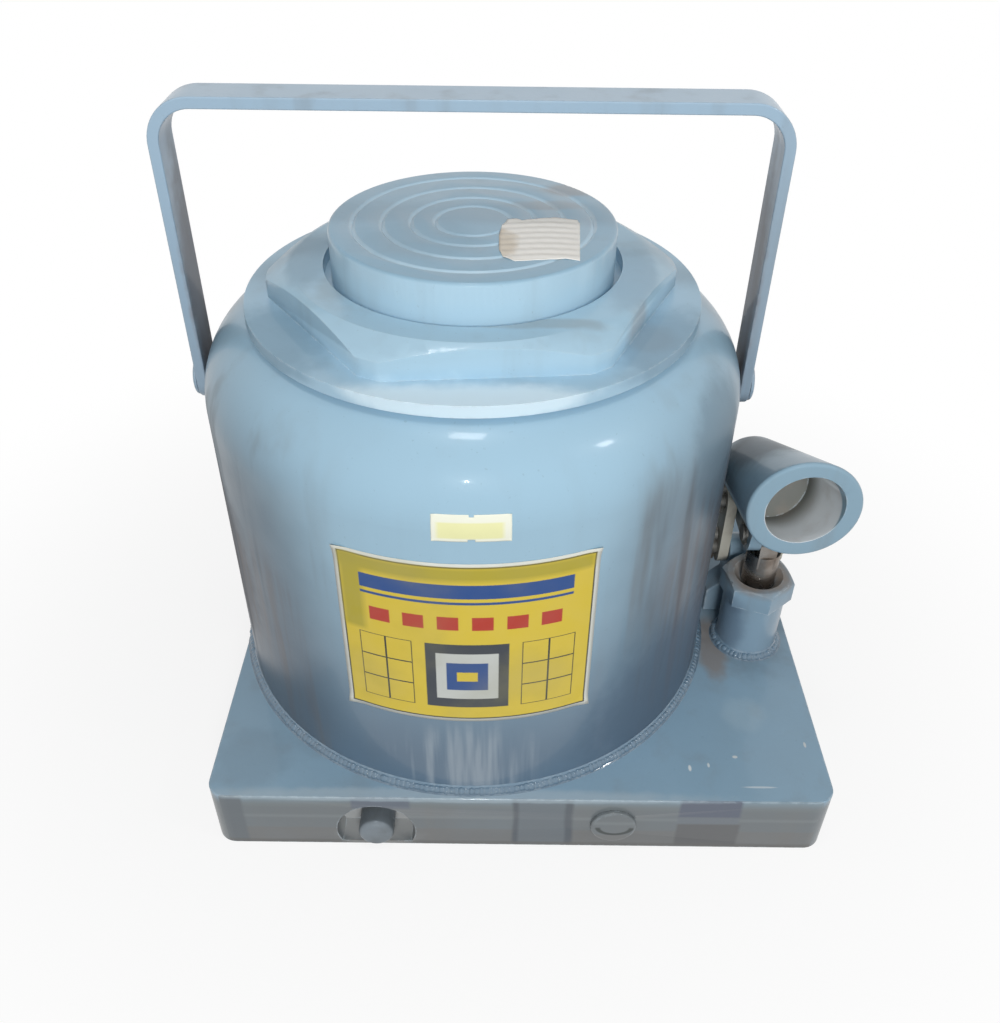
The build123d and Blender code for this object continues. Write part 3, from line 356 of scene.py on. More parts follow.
def bore_lining(tree, place, shade, rough, bore):
    """The wall and end of a bore. The wall's light tint turns into the end's dark one between shallow and deep,
    a painted shade deep in the bore.
    """
    hole = use(tree, hole_tree, {"Place": place, "Mouth": bore["mouth"], "Axis": bore["inward"],
                                 "Radius": bore["radius"], "Length": bore["length"]})
    # Darker towards the end: painted shade deep in the bore.
    turned = spread(tree, hole["Depth"], bore["shallow"], bore["deep"])
    lining = lay(tree, turned, colour(*bore["wall"]), colour(*bore["end"]))
    brown = spread(tree, cloud(tree, place, scale=90, detail=4), 0.45, 0.7, high=0.2)
    lining = lay(tree, brown, lining, colour(166, 150, 136))
    rough = maths(tree, "ADD", rough, times(tree, hole["Inside"], 0.3), clamp=True)
    return lay(tree, hole["Inside"], shade, lining), rough


print("streaks, smudges and lining ready")

# %% [markdown]
# ## Painted materials
# Each painted piece gets the same coat with its own light and dark tone, its own stains, painted shade and
# painted highlights, and its own wear.
# The shader stays in the material: the coat's gloss is a property of the tin and is set once on the socket.
# Only on the tank does grime fade the gloss.

# %% Function for a painted material
BARE_EDGE = (186, 200, 208)


def enamel(name, light, dark, low, high, streak=0.2, clouding=0.3, coat=0.3, wear=0.5, edge=0.0012,
           sides=None, boxes=(), rings=(), rim_shadow=None, runs=(), bore=None, stains_and_painted_light=()):
    """light and dark are the tones above high and below low. sides: the distances from the middle where dirt
    and painted shade start and are worst, and their tint. rim_shadow: what painted_rim_shadow asks for after
    the shade, a painted shadow under the capped plug's rim."""
    material, tree, place, shader = new_material(name)
    shader["Coat Weight"].default_value = coat
    if sides:
        start, worst, tint = sides
        grimy_and_shaded = grime_and_side_shade(tree, place, start, worst)
        streak = maths(tree, "ADD", times(tree, grimy_and_shaded, streak), 0.04)
        tree.links.new(spread(tree, grimy_and_shaded, 0.0, 0.8, coat, 0.0), shader["Coat Weight"])
    paint = use(tree, coat_tree, {"Place": place, "Light": colour(*light), "Dark": colour(*dark), "Low": low,
                                  "High": high, "Cloud": clouding, "Streak": streak, "Gloss": 0.22})
    shade, rough = paint["Color"], paint["Roughness"]
    # The darker tint on the tank's sides is dirt and painted shade.
    if sides:
        shade = lay(tree, times(tree, grimy_and_shaded, 0.8), shade, colour(*tint))
    if boxes:
        shade = patches(tree, place, shade, boxes)
    if rings:
        shade = turned_ring_highlights(tree, place, shade, rings)
    if rim_shadow:
        shade = painted_rim_shadow(tree, place, shade, *rim_shadow)
    shade = streaks(tree, place, shade, runs)
    if bore:
        shade, rough = bore_lining(tree, place, shade, rough, bore)
    shade, rough = smears_and_painted_light(tree, place, shade, rough, stains_and_painted_light)
    worn = use(tree, edge_tree, {"Place": place, "Width": edge, "Amount": wear})["Mask"]
    tree.links.new(lay(tree, worn, shade, colour(*BARE_EDGE)), shader["Base Color"])
    tree.links.new(rough, shader["Roughness"])
    tree.links.new(bump(tree, paint["Height"], 0.12, 0.0004), shader["Normal"])
    shader["Specular IOR Level"].default_value = 0.35
    shader["Coat Roughness"].default_value = 0.07
    return material


# %% Enamel of the tank
# The tank's enamel is darker towards the bottom and towards its sides. This is painted shade, with real dirt
# runs and dulled gloss on the sides.
tank_paint = enamel(
    "tank enamel", (157, 191, 211), (92, 114, 134), 0.045, 0.182, streak=1.0, clouding=0.2,
    sides=(0.040, 0.094, (86, 98, 110)),
    stains_and_painted_light=(
        ((-0.108, -0.050, 0.110), (0.020, 0.045, 0.050), (104, 98, 98), 0.5),
        ((0.112, -0.035, 0.120), (0.020, 0.035, 0.050), (92, 88, 90), 0.5),
        # Painted shade: a darker bluish patch on the right shoulder by the bail's foot.
        ((0.100, -0.062, 0.188), (0.020, 0.035, 0.026), (104, 124, 138), 0.5),
        # Painted shade: the lower right of the tank is darker blue.
        ((0.095, -0.075, 0.060), (0.060, 0.060, 0.050), (74, 94, 114), 0.5),
    ),
    runs=(
        # Painted reflection: light upright streaks low on the tank's front.
        ((0.0, -0.116, 0.052), (0.036, 0.020, 0.030), (160, 172, 182), 0.55),
        ((-0.090, -0.070, 0.090), (0.035, 0.050, 0.060), (96, 92, 94), 0.6),
        ((0.095, -0.060, 0.100), (0.030, 0.050, 0.070), (96, 90, 92), 0.5),
    ))

# %% Enamel of the nut and of the ram head
nut_paint = enamel(
    "nut enamel", (166, 199, 218), (164, 196, 216), 0.205, 0.236, streak=0.12,
    stains_and_painted_light=(
        ((0.0688, -0.0441, 0.225), (0.014, 0.014, 0.012), (146, 130, 118), 0.4),
        ((0.020, -0.058, NUT_TOP), (0.040, 0.005, 0.004), (132, 128, 120), 0.35),
        ((-0.052, -0.028, NUT_TOP), (0.010, 0.016, 0.004), (136, 138, 134), 0.3),
        # Painted highlight across the middle of the flange's front.
        ((0.0, -0.0935, FLANGE_TOP), (0.075, 0.016, 0.008), (220, 240, 250), 0.85),
        # Painted shade: darker blue towards the sides of the flange and of the nut's top.
        ((-0.076, -0.052, FLANGE_TOP - 0.0015), (0.030, 0.040, 0.005), (126, 158, 178), 0.7),
        ((0.076, -0.050, FLANGE_TOP - 0.0015), (0.030, 0.040, 0.005), (130, 160, 180), 0.7),
        ((-0.070, -0.004, NUT_TOP + 0.0015), (0.020, 0.040, 0.004), (140, 168, 186), 0.6),
        ((0.066, -0.024, NUT_TOP + 0.0015), (0.020, 0.040, 0.004), (146, 172, 190), 0.6),
    ))
# The ram head's top is darker than its side: a painted shaded top above a painted lit side.
saddle_paint = enamel(
    "saddle enamel", (144, 179, 200), (176, 208, 226), HEAD_TOP - 0.0016, HEAD_TOP - 0.0001,
    # The rings are painted highlights along the turned grooves.
    streak=0.1, wear=0.8, rings=(0.0153, 0.0251, 0.0367, 0.0486),
    stains_and_painted_light=(
        ((0.0406, 0.0354, HEAD_TOP), (0.014, 0.008, 0.003), (168, 142, 122), 0.4),
        ((0.0306, 0.0178, HEAD_TOP), (0.018, 0.006, 0.003), (168, 150, 134), 0.3),
        ((-0.020, -0.020, HEAD_TOP), (0.030, 0.020, 0.003), (138, 164, 180), 0.4),
    ))

# %% Enamel of the plate
CHIPS = (
    ((0.1002, -0.1029, PLATE_TOP), (0.0008, 0.0019, 0.001), (214, 220, 220), 0.9),
    ((0.1090, -0.1012, PLATE_TOP), (0.0007, 0.0015, 0.001), (205, 214, 216), 0.9),
    ((0.1219, -0.0964, PLATE_TOP), (0.0014, 0.0009, 0.001), (205, 210, 210), 0.9),
    ((0.1300, -0.1130, PLATE_TOP), (0.0085, 0.0006, 0.001), (196, 208, 214), 0.8),
    ((0.1559, -0.0890, PLATE_TOP), (0.0007, 0.0018, 0.001), (200, 205, 205), 0.9),
)
EVERYWHERE = 1.0
plate_paint = enamel(
    "plate enamel", (138, 169, 190), (108, 115, 119), 0.028, 0.036, streak=0.15, clouding=0.5, wear=0.7,
    stains_and_painted_light=CHIPS + (
        ((0.131, -0.071, PLATE_TOP), (0.012, 0.012, 0.002), (158, 182, 196), 0.4),
        ((-0.100, -0.100, PLATE_TOP), (0.020, 0.020, 0.002), (118, 140, 156), 0.4),
        ((0.140, 0.0, PLATE_TOP), (0.030, 0.050, 0.003), (112, 128, 138), 0.6),
        ((0.122, -0.026, PLATE_TOP), (0.009, 0.026, 0.003), (136, 126, 118), 0.75),
        # Painted highlight: a light band along the front edge of the plate's top.
        ((-0.010, -0.1205, PLATE_TOP), (0.140, 0.006, 0.003), (168, 184, 194), 0.6),
        # Painted light: a pale patch that lifts the shade inside the valve recess.
        ((-0.0425, -0.106, 0.003), (0.034, 0.018, 0.028), (176, 178, 178), 0.8),
    ),
    boxes=(
        (-EVERYWHERE, EVERYWHERE, 0.0275, EVERYWHERE, (116, 125, 127), 0.5),
        (-EVERYWHERE, EVERYWHERE, 0.0, 0.012, (112, 108, 104), 0.4),
        (-EVERYWHERE, EVERYWHERE, 0.0195, 0.0215, (130, 138, 140), 0.4),
        (0.0206, 0.0455, -EVERYWHERE, EVERYWHERE, (100, 110, 118), 0.7),
        (0.0196, 0.0222, -EVERYWHERE, EVERYWHERE, (76, 84, 92), 0.8),
        (0.0432, 0.0466, -EVERYWHERE, EVERYWHERE, (76, 84, 92), 0.8),
        (0.0939, 0.1214, 0.0225, EVERYWHERE, (88, 96, 112), 0.95),
        (0.0939, 0.1214, 0.0175, 0.0225, (108, 116, 124), 0.9),
        (0.0939, 0.1224, -EVERYWHERE, 0.0175, (92, 94, 96), 0.95),
        (-0.0522, -0.0264, 0.0265, EVERYWHERE, (92, 102, 116), 0.9),
        (-EVERYWHERE, -0.1013, -EVERYWHERE, EVERYWHERE, (96, 104, 110), 0.9),
        (-EVERYWHERE, EVERYWHERE, 0.0, 0.0025, (92, 92, 90), 0.7),
    ),
    # A painted shadow under the lower rim of the capped plug.
    rim_shadow=(0.0655, 0.0172, 0.0076, 1.55, 0.0012, (50, 58, 58)))

# %% Enamel of the bail, the pump and the welds
bail_paint = enamel(
    "bail enamel", (160, 186, 206), (140, 162, 180), 0.17, 0.30, streak=0.3, wear=0.35, edge=0.001,
    stains_and_painted_light=[((side * 0.117, 0.006, 0.215), (0.003, 0.020, 0.070), (112, 88, 74), 0.6) for side in (-1, 1)])
pump_paint = enamel(
    "pump enamel", (136, 166, 184), (130, 154, 172), 0.034, 0.14, streak=0.3, wear=0.8,
    stains_and_painted_light=(
        ((0.141, -0.018, 0.078), (0.019, 0.019, 0.006), (140, 122, 104), 0.8),
        ((0.128, -0.006, 0.156), (0.034, 0.034, 0.018), (100, 104, 108), 0.7),
        ((0.141, 0.0, 0.104), (0.030, 0.020, 0.012), (104, 106, 106), 0.4),
        ((0.158, -0.026, 0.050), (0.006, 0.012, 0.020), (150, 142, 146), 0.4),
        # Painted shade: the pump barrel's left side is darker blue.
        ((0.125, -0.028, 0.050), (0.013, 0.013, 0.022), (94, 116, 136), 0.7),
        ((0.124, -0.030, 0.066), (0.012, 0.012, 0.009), (98, 118, 136), 0.6),
    ),
    # The bore's lining darkens towards its end: painted shade.
    bore={"mouth": (0.141, -0.057, 0.148), "inward": (-0.12386, 0.94718, -0.29581), "radius": 0.0168,
          "length": 0.0375, "shallow": 0.018, "deep": 0.035, "wall": (240, 245, 248),
          "end": (120, 122, 118)})
# The welds wear a darker copy of the plate's enamel: painted shade that offsets the light the bead catches.
weld_paint = enamel(
    "weld enamel", (104, 130, 150), (88, 110, 128), 0.034, 0.038, streak=0.1, coat=1.0, wear=0.15)
print("painted materials", sum("enamel" in m.name for m in bpy.data.materials))

# %% [markdown]
# ## Bare metal, bronze and rubber
# Turned steel has fine rings around its axis and rolled plate has lines along its length. Both are noise that
# is stretched far more one way than the other. Oil leaves brown clouds on bare steel, so the metals get those
# too.

# %% Group and function for bare metals
metal_tree, given, made = group("Bare metal", {
    "Place": (PLACE, None), "Clean": (TINT, (1, 1, 1, 1)), "Stained": (TINT, (0, 0, 0, 1)),
    "Lines": (PLACE, (40, 40, 900)), "Stain": (NUMBER, 0.4), "Roughness": (NUMBER, 0.3),
}, {"Color": TINT, "Roughness": NUMBER, "Height": NUMBER})
lined = put(metal_tree, "ShaderNodeMapping", {"Vector": given["Place"], "Scale": given["Lines"]}).outputs[0]
grain = cloud(metal_tree, lined)
brown = spread(metal_tree, cloud(metal_tree, given["Place"], scale=55, detail=5), 0.42, 0.72)
brown = maths(metal_tree, "MULTIPLY", brown, given["Stain"], clamp=True)
rough = maths(metal_tree, "ADD", given["Roughness"], times(metal_tree, brown, 0.3))
rough = maths(metal_tree, "ADD", times(metal_tree, grain, 0.25), rough)
metal_tree.links.new(lay(metal_tree, brown, given["Clean"], given["Stained"]), made["Color"])
metal_tree.links.new(rough, made["Roughness"])
metal_tree.links.new(grain, made["Height"])
print("metal group", len(metal_tree.nodes), "nodes")


def metal(name, clean, stained, lines=(40, 40, 900), stain=0.4, roughness=0.2, metallic=1.0):
    material, tree, place, shader = new_material(name)
    surface = use(tree, metal_tree, {"Place": place, "Clean": colour(*clean), "Stained": colour(*stained),
                                     "Lines": lines, "Stain": stain, "Roughness": roughness})
    tree.links.new(surface["Color"], shader["Base Color"])
    tree.links.new(surface["Roughness"], shader["Roughness"])
    tree.links.new(bump(tree, surface["Height"], 0.08, 0.0002), shader["Normal"])
    shader["Metallic"].default_value = metallic
    return material


# %% Materials of the bare pieces
turned_steel = metal("turned steel", (176, 176, 172), (110, 92, 70), stain=0.25)
plunger_steel = metal("polished plunger steel", (168, 162, 156), (104, 88, 74), stain=0.7, roughness=0.12)
link_steel = metal("link plate steel", (206, 204, 192), (150, 138, 118), lines=(300, 300, 30), stain=0.6,
                   roughness=0.35, metallic=0.35)
pin_steel = metal("pin steel", (132, 132, 128), (92, 78, 62), stain=0.7, roughness=0.35, metallic=0.6)
screw_steel = metal("valve screw steel", (124, 134, 142), (96, 98, 96), stain=0.6, roughness=0.25,
                    metallic=0.3)
bronze = metal("bronze", (186, 148, 92), (110, 84, 50), roughness=0.25)
rubber = metal("seal rubber", (44, 44, 44), (64, 60, 54), lines=(500, 500, 500), stain=0.3, roughness=0.5,
               metallic=0.0)
print("bare materials ready")

# %% [markdown]
# ## Dressing the CAD pieces
# A CAD mesh is made of loose triangles with perfectly sharp edges, and no real casting has those. Each
# visible piece is copied, its triangles are joined and its flat faces merged, and a small Bevel modifier
# rounds the edges so that they catch the light. The copy then stands for the CAD node and moves with the same
# body.

# %% Function that dresses a node
SAME_POINT = 2e-6
SAME_PLANE = math.radians(0.3)
SHARP = math.radians(28.0)


def dress(node, name, material, bevel, body="jack"):
    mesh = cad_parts[node].data.copy()
    work = bmesh.new()
    work.from_mesh(mesh)
    bmesh.ops.remove_doubles(work, verts=work.verts, dist=SAME_POINT)
    bmesh.ops.dissolve_limit(work, angle_limit=SAME_PLANE, verts=work.verts, edges=work.edges)
    bmesh.ops.recalc_face_normals(work, faces=work.faces)
    for face in work.faces:
        face.smooth = True
        face.material_index = 0
    work.to_mesh(mesh)
    work.free()
    piece = bpy.data.objects.new(name, mesh)
    scene.collection.objects.link(piece)
    mesh.materials.clear()
    mesh.materials.append(material)
    mesh.set_sharp_from_angle(angle=SHARP)
    if bevel:
        rounding = piece.modifiers.new("Rounded edges", "BEVEL")
        rounding.width = bevel
        rounding.segments = 2
        rounding.limit_method = "ANGLE"
        rounding.angle_limit = SHARP
        rounding.harden_normals = True
        rounding.use_clamp_overlap = True
    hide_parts(node)
    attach(piece, body)
    print("dressed", name, len(mesh.polygons), "faces")


# %% Dress the visible pieces
dress("base_plate", "plate", plate_paint, 0.0008)
dress("reservoir_tank", "tank", tank_paint, 0.0)
dress("gland_nut", "nut", nut_paint, 0.0007)
dress("saddle", "ram_head", saddle_paint, 0.0003, body="ram")
dress("bail_handle", "bail", bail_paint, 0.0008, body="bail")
dress("bail_pivot_studs", "bail_studs", bail_paint, 0.0004)
dress("pump_barrel", "barrel", pump_paint, 0.0006)
dress("pump_gland", "packing_gland", pump_paint, 0.0005)
dress("handle_socket", "socket", pump_paint, 0.0006, body="socket")
dress("fulcrum_post", "post", pump_paint, 0.0008)
dress("overload_plug", "capped_plug", plate_paint, 0.0003)
dress("release_screw", "valve_screw", screw_steel, 0.0004, body="release_valve")
dress("link_plate_inner", "inner_link", link_steel, 0.0005, body="link")
dress("link_plate_outer", "outer_link", link_steel, 0.0005, body="link")

# %% [markdown]
# ## The pieces that keep their CAD mesh
# Balls, springs, seals and pins need no rounded edges, because they are hidden or tiny. They keep their
# meshes and only get the right metal, rubber or enamel in their material slots.

# %% Materials on the kept nodes
kept = {
    turned_steel: ("pressure_cylinder", "ram_rod", "saddle_snap_ring", "suction_ball", "suction_spring",
                   "delivery_ball", "release_ball", "overload_ball", "overload_spring"),
    plunger_steel: ("pump_plunger",),
    pin_steel: ("plunger_pin", "plunger_pin_clip", "lower_link_pin", "upper_link_pin", "lower_split_pins",
                "upper_split_pins", "gallery_plugs"),
    bronze: ("cylinder_foot_seal", "ram_guide_ring", "suction_strainer"),
    rubber: ("ram_rod_seal", "ram_wiper", "tank_top_seal", "piston_seal", "pump_packing",
             "release_packing", "filler_plug"),
    weld_paint: ("tank_weld_bead", "pump_weld_bead"),
}
for material, nodes in kept.items():
    for node in nodes:
        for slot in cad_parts[node].material_slots:
            slot.material = material
print("kept nodes", sum(len(nodes) for nodes in kept.values()))

# %% [markdown]
# ## Weld ripples
# A hand weld is a row of small overlapping drops. They could be modelled one by one, but they follow a
# circle, so Geometry Nodes does it: a circle of points, one flattened drop on each, turned along the bead and
# made a little uneven by a fixed seed. The same tree serves the tank's foot and the pump's foot with other
# numbers.

# %% Geometry Nodes tree for the ripples
FLOAT, INTEGER, VECTOR = "NodeSocketFloat", "NodeSocketInt", "NodeSocketVector"
bead_tree = bpy.data.node_groups.new("Weld ripples", "GeometryNodeTree")
bead_tree.interface.new_socket("Geometry", in_out="OUTPUT", socket_type="NodeSocketGeometry")
bead_inputs = {}
for label, kind, value in (("Radius", FLOAT, 0.1), ("Count", INTEGER, 100), ("Drop length", FLOAT, 0.004),
                           ("Drop width", FLOAT, 0.003), ("Drop height", FLOAT, 0.002),
                           ("Centre", VECTOR, (0, 0, 0)), ("Lean", FLOAT, 0.6), ("Seed", INTEGER, 1),
                           ("Coat", "NodeSocketMaterial", None)):
    socket = bead_tree.interface.new_socket(label, in_out="INPUT", socket_type=kind)
    bead_inputs[label] = socket.identifier
    if value is not None:
        socket.default_value = value
given = bead_tree.nodes.new("NodeGroupInput").outputs
circle = put(bead_tree, "GeometryNodeMeshCircle",
             {"Vertices": given["Count"], "Radius": given["Radius"]}).outputs[0]
drop = put(bead_tree, "GeometryNodeMeshIcoSphere", {"Radius": 1.0, "Subdivisions": 2}).outputs[0]
drop_size = put(bead_tree, "ShaderNodeCombineXYZ", {
    "X": given["Drop width"], "Y": given["Drop length"], "Z": given["Drop height"]}).outputs[0]
drop = put(bead_tree, "GeometryNodeTransform", {"Geometry": drop, "Scale": drop_size}).outputs[0]
spot = put(bead_tree, "GeometryNodeInputPosition").outputs[0]
turn = put(bead_tree, "FunctionNodeAlignRotationToVector", {"Vector": spot},
           axis="X", pivot_axis="Z").outputs[0]
lean = put(bead_tree, "ShaderNodeCombineXYZ", {"Y": given["Lean"]}).outputs[0]
turn = put(bead_tree, "FunctionNodeRotateRotation", {"Rotation": turn, "Rotate By": lean},
           rotation_space="LOCAL").outputs[0]
uneven = put(bead_tree, "FunctionNodeRandomValue", {
    "Min": (0.75, 0.8, 0.7), "Max": (1.1, 1.2, 1.15), "Seed": given["Seed"]},
    data_type="FLOAT_VECTOR").outputs[0]
row = put(bead_tree, "GeometryNodeInstanceOnPoints", {
    "Points": circle, "Instance": drop, "Rotation": turn, "Scale": uneven}).outputs[0]
row = put(bead_tree, "GeometryNodeRealizeInstances", {"Geometry": row}).outputs[0]
row = put(bead_tree, "GeometryNodeTransform", {"Geometry": row, "Translation": given["Centre"]}).outputs[0]
row = put(bead_tree, "GeometryNodeSetMaterial", {"Geometry": row, "Material": given["Coat"]}).outputs[0]
put(bead_tree, "NodeGroupOutput", {"Geometry": row})
print("bead tree", len(bead_tree.nodes), "nodes")

# %% Lay the two beads


def plain_mesh(holder, name):
    """The result of a holder's modifiers as a plain mesh in an object of its own."""
    bpy.context.view_layer.update()
    ready = holder.evaluated_get(bpy.context.evaluated_depsgraph_get())
    mesh = bpy.data.meshes.new_from_object(ready)
    bpy.data.objects.remove(holder)
    for polygon in mesh.polygons:
        polygon.use_smooth = True
    piece = bpy.data.objects.new(name, mesh)
    scene.collection.objects.link(piece)
    return piece


def bead(name, values):
    holder = bpy.data.objects.new(name + "_holder", bpy.data.meshes.new(name + "_holder"))
    scene.collection.objects.link(holder)
    modifier = holder.modifiers.new("Ripples", "NODES")
    modifier.node_group = bead_tree
    for label, value in values.items():
        modifier[bead_inputs[label]] = value
    piece = plain_mesh(holder, name)
    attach(piece, "jack")
    print(name, len(piece.data.polygons), "faces")


BEAD_OUT, DROP_HEIGHT = 0.0013, 0.0012
bead_z = PLATE_TOP + DROP_HEIGHT
tank_radius = tank_high.x
pump_low, pump_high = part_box("pump_barrel")
pump_x, pump_y, _ = (pump_low + pump_high) / 2
pump_radius = (pump_high.x - pump_low.x) / 2
bead("tank_foot_ripples", {
    "Radius": tank_radius + BEAD_OUT, "Count": 330, "Drop length": 0.0019, "Drop width": 0.0021,
    "Drop height": DROP_HEIGHT, "Centre": (0, 0, bead_z), "Seed": 4, "Coat": weld_paint})
bead("pump_foot_ripples", {
    "Radius": pump_radius + BEAD_OUT, "Count": 46, "Drop length": 0.0018, "Drop width": 0.0020,
    "Drop height": DROP_HEIGHT, "Centre": (pump_x, pump_y, bead_z), "Seed": 9, "Coat": weld_paint})

# %% [markdown]
# ## The label and the sticker
# Both are paper stuck on a round tank. A flat picture laid in front of the tank would float at its ends, so
# each is a grid wrapped on the tank's own outline, with a UV map that runs straight across the paper. The
# corners of the big label have started to lift. The printing is a plain design of bands, boxes and blocks and
# says nothing.

# %% Function that wraps paper on the tank
PAPER = 0.00015
GLUE = 0.00008
LIFTED = 0.86
shoulder_radius = 0.035
shoulder_z = tank_high.z - shoulder_radius


def outline(z):
    """The radius of the tank's outside at a height."""
    if z <= shoulder_z:
        return tank_radius
    return tank_radius - shoulder_radius + math.sqrt(shoulder_radius ** 2 - (z - shoulder_z) ** 2)


def near_end(share):
    """How far a share of the width or height lies past LIFTED, from 0 to 1 at the rim."""
    return max(0.0, abs(share - 0.5) * 2 - LIFTED) / (1 - LIFTED)


def paper(name, first, last, bottom, top, material, lift, notches=(), columns=64, rows=40):
    """first and last are angles from the front in degrees; notches are cuts in the long edges."""
    mesh = bpy.data.meshes.new(name)
    work = bmesh.new()
    grid = []
    for row in range(rows + 1):
        v = row / rows
        z = bottom + (top - bottom) * v
        line = []
        for column in range(columns + 1):
            u = column / columns
            corner = near_end(u) * near_end(v)
            radius = outline(z) + GLUE + lift * corner ** 1.5
            angle = math.radians(first + (last - first) * u)
            line.append(work.verts.new((radius * math.sin(angle), -radius * math.cos(angle), z)))
        grid.append(line)
    layer = work.loops.layers.uv.new("UVMap")
    for row in range(rows):
        for column in range(columns):
            u, v = (column + 0.5) / columns, (row + 0.5) / rows
            if any(left < u < right and low < v < high for left, right, low, high in notches):
                continue
            corners = [(row, column), (row, column + 1), (row + 1, column + 1), (row + 1, column)]
            face = work.faces.new([grid[r][c] for r, c in corners])
            face.smooth = True
            for loop, (r, c) in zip(face.loops, corners):
                loop[layer].uv = (c / columns, r / rows)
    bmesh.ops.delete(work, geom=[v for v in work.verts if not v.link_faces], context="VERTS")
    work.to_mesh(mesh)
    work.free()
    mesh.materials.append(material)
    piece = bpy.data.objects.new(name, mesh)
    scene.collection.objects.link(piece)
    thickness = piece.modifiers.new("Paper", "SOLIDIFY")
    thickness.thickness = PAPER
    thickness.offset = 1.0
    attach(piece, "jack")
    print(name, len(mesh.polygons), "faces")


# %% [markdown]
# ## Printing without a picture
# No image is used. The UV map says how far across and up the paper a point lies, and a printed box is a mask
# that is one between two values of each. The label is a stack of such boxes, laid one over the other as in
# silk screening; two olive boxes along its left and top edges are a painted reflection. Age is a cloud of dull
# olive over everything.

# %% Function for a printed paper
INK, OLIVE = (44, 46, 40), (176, 162, 54)
YELLOW, WHITE, BLUE, RED = (214, 190, 66), (214, 216, 208), (36, 74, 134), (176, 58, 44)


def box_mask(tree, uv, left, right, bottom, top, blur=0.004):
    return use(tree, print_tree, {"U": uv["X"], "V": uv["Y"], "Left": left, "Right": right,
                                  "Bottom": bottom, "Top": top, "Blur": blur})["Mask"]


def ruled(tree, flat_uv, left, right, bottom, top, columns, rows):
    """Thin lines between the cells of a table."""
    moved = put(tree, "ShaderNodeMapping", {"Vector": flat_uv, "Location": (-left, -bottom, 0)}).outputs[0]
    return put(tree, "ShaderNodeTexBrick", {
        "Vector": moved, "Color1": (0, 0, 0, 1), "Color2": (0, 0, 0, 1), "Mortar": (1, 1, 1, 1),
        "Scale": 1.0, "Mortar Size": 0.004, "Mortar Smooth": 0.1, "Brick Width": (right - left) / columns,
        "Row Height": (top - bottom) / rows}, offset=0.0, squash=1.0).outputs["Fac"]


def printed(name, ground, layers, tables=(), age=0.3):
    """layers: left, right, bottom, top, colour and perhaps blur. tables: the box, then columns and rows."""
    material, tree, place, shader = new_material(name)
    flat_uv = put(tree, "ShaderNodeTexCoord").outputs["UV"]
    uv = axes(tree, flat_uv)
    shade = colour(*ground)
    for left, right, bottom, top, tint, *blur in layers:
        mask = box_mask(tree, uv, left, right, bottom, top, *blur)
        shade = lay(tree, mask, shade, colour(*tint))
    for table in tables:
        lines = times(tree, ruled(tree, flat_uv, *table), box_mask(tree, uv, *table[:4]))
        shade = lay(tree, lines, shade, colour(*INK))
    faded = spread(tree, cloud(tree, place, scale=30, detail=5), 0.45, 0.75, high=age)
    shade = lay(tree, faded, shade, colour(150, 146, 110))
    rough = spread(tree, cloud(tree, place, scale=120), 0.3, 0.7, 0.3, 0.5)
    tree.links.new(shade, shader["Base Color"])
    tree.links.new(rough, shader["Roughness"])
    creases = cloud(tree, place, scale=90, detail=4)
    tree.links.new(bump(tree, creases, 0.15, 0.0004), shader["Normal"])
    return material


# %% Print the label and the sticker
FRAME = [(0.018, 0.982, 0.018, 0.982, INK), (0.024, 0.976, 0.026, 0.974, YELLOW)]
# Painted reflection: olive bands along the left and top of the yellow ground.
OLIVE_REFLECTION = [(0.024, 0.11, 0.54, 0.974, OLIVE, 0.03), (0.024, 0.976, 0.90, 0.974, OLIVE, 0.03)]
BANDS = [(0.10, 0.90, 0.80, 0.88, BLUE), (0.10, 0.90, 0.765, 0.78, BLUE)]
NESTED = [(0.34, 0.66, 0.10, 0.52, (52, 58, 66)), (0.38, 0.62, 0.16, 0.46, (196, 200, 196)),
          (0.42, 0.58, 0.22, 0.40, BLUE), (0.46, 0.54, 0.28, 0.34, YELLOW)]
BLOCKS = [(0.13 * k, 0.13 * k + 0.08, 0.61, 0.69, RED) for k in range(1, 7)]
label_print = printed("printed label", WHITE, FRAME + OLIVE_REFLECTION + BANDS + NESTED + BLOCKS,
                      tables=((0.08, 0.29, 0.10, 0.52, 2, 3), (0.71, 0.92, 0.10, 0.52, 2, 3)))
sticker_print = printed("blank sticker", (240, 242, 226),
                        [(0.07, 0.90, 0.12, 0.72, (236, 236, 180), 0.06)], age=0.1)

# %% Stick the papers on
paper("label", -25.5, 25.5, 0.0815, 0.168, label_print, 0.0012)
paper("sticker", -6.0, 8.2, 0.1786, 0.190, sticker_print, 0.0003,
      notches=((0.46, 0.54, 0.0, 0.09), (0.47, 0.53, 0.93, 1.0)), rows=24)

# %% [markdown]
# ## The scrap of masking tape
# A torn piece of crepe tape has been left on the ram head. Its outline is cut into a fine grid, so that the
# crepe can be a real ripple in the mesh. Its right end is straight and the left end is torn, browner and
# gluey. It moves with the ram.

# %% Function that cuts the tape
TORN_OUTLINE = [(0.0106, -0.0151), (0.0117, -0.0051), (0.0141, 0.0012), (0.0173, 0.0023), (0.0197, 0.0003),
                (0.0238, 0.0015), (0.0332, 0.0038), (0.0420, 0.0010), (0.0430, -0.0021),
                (0.0410, -0.0376), (0.0355, -0.0360), (0.0261, -0.0372), (0.0167, -0.0387),
                (0.0122, -0.0348), (0.0107, -0.0285)]
CREPE_PITCH = 0.0052
CREPE_HEIGHT = 0.0001
TAPE_THICKNESS = 0.00025
FINE_STEP = 0.0006


def cut(work, start, end, pieces, direction):
    """Cut the tape into strips of one width across X or Y."""
    for index in range(1, pieces):
        spot = Vector(direction) * (start + (end - start) * index / pieces)
        bmesh.ops.bisect_plane(work, geom=work.verts[:] + work.edges[:] + work.faces[:], plane_co=spot,
                               plane_no=direction)


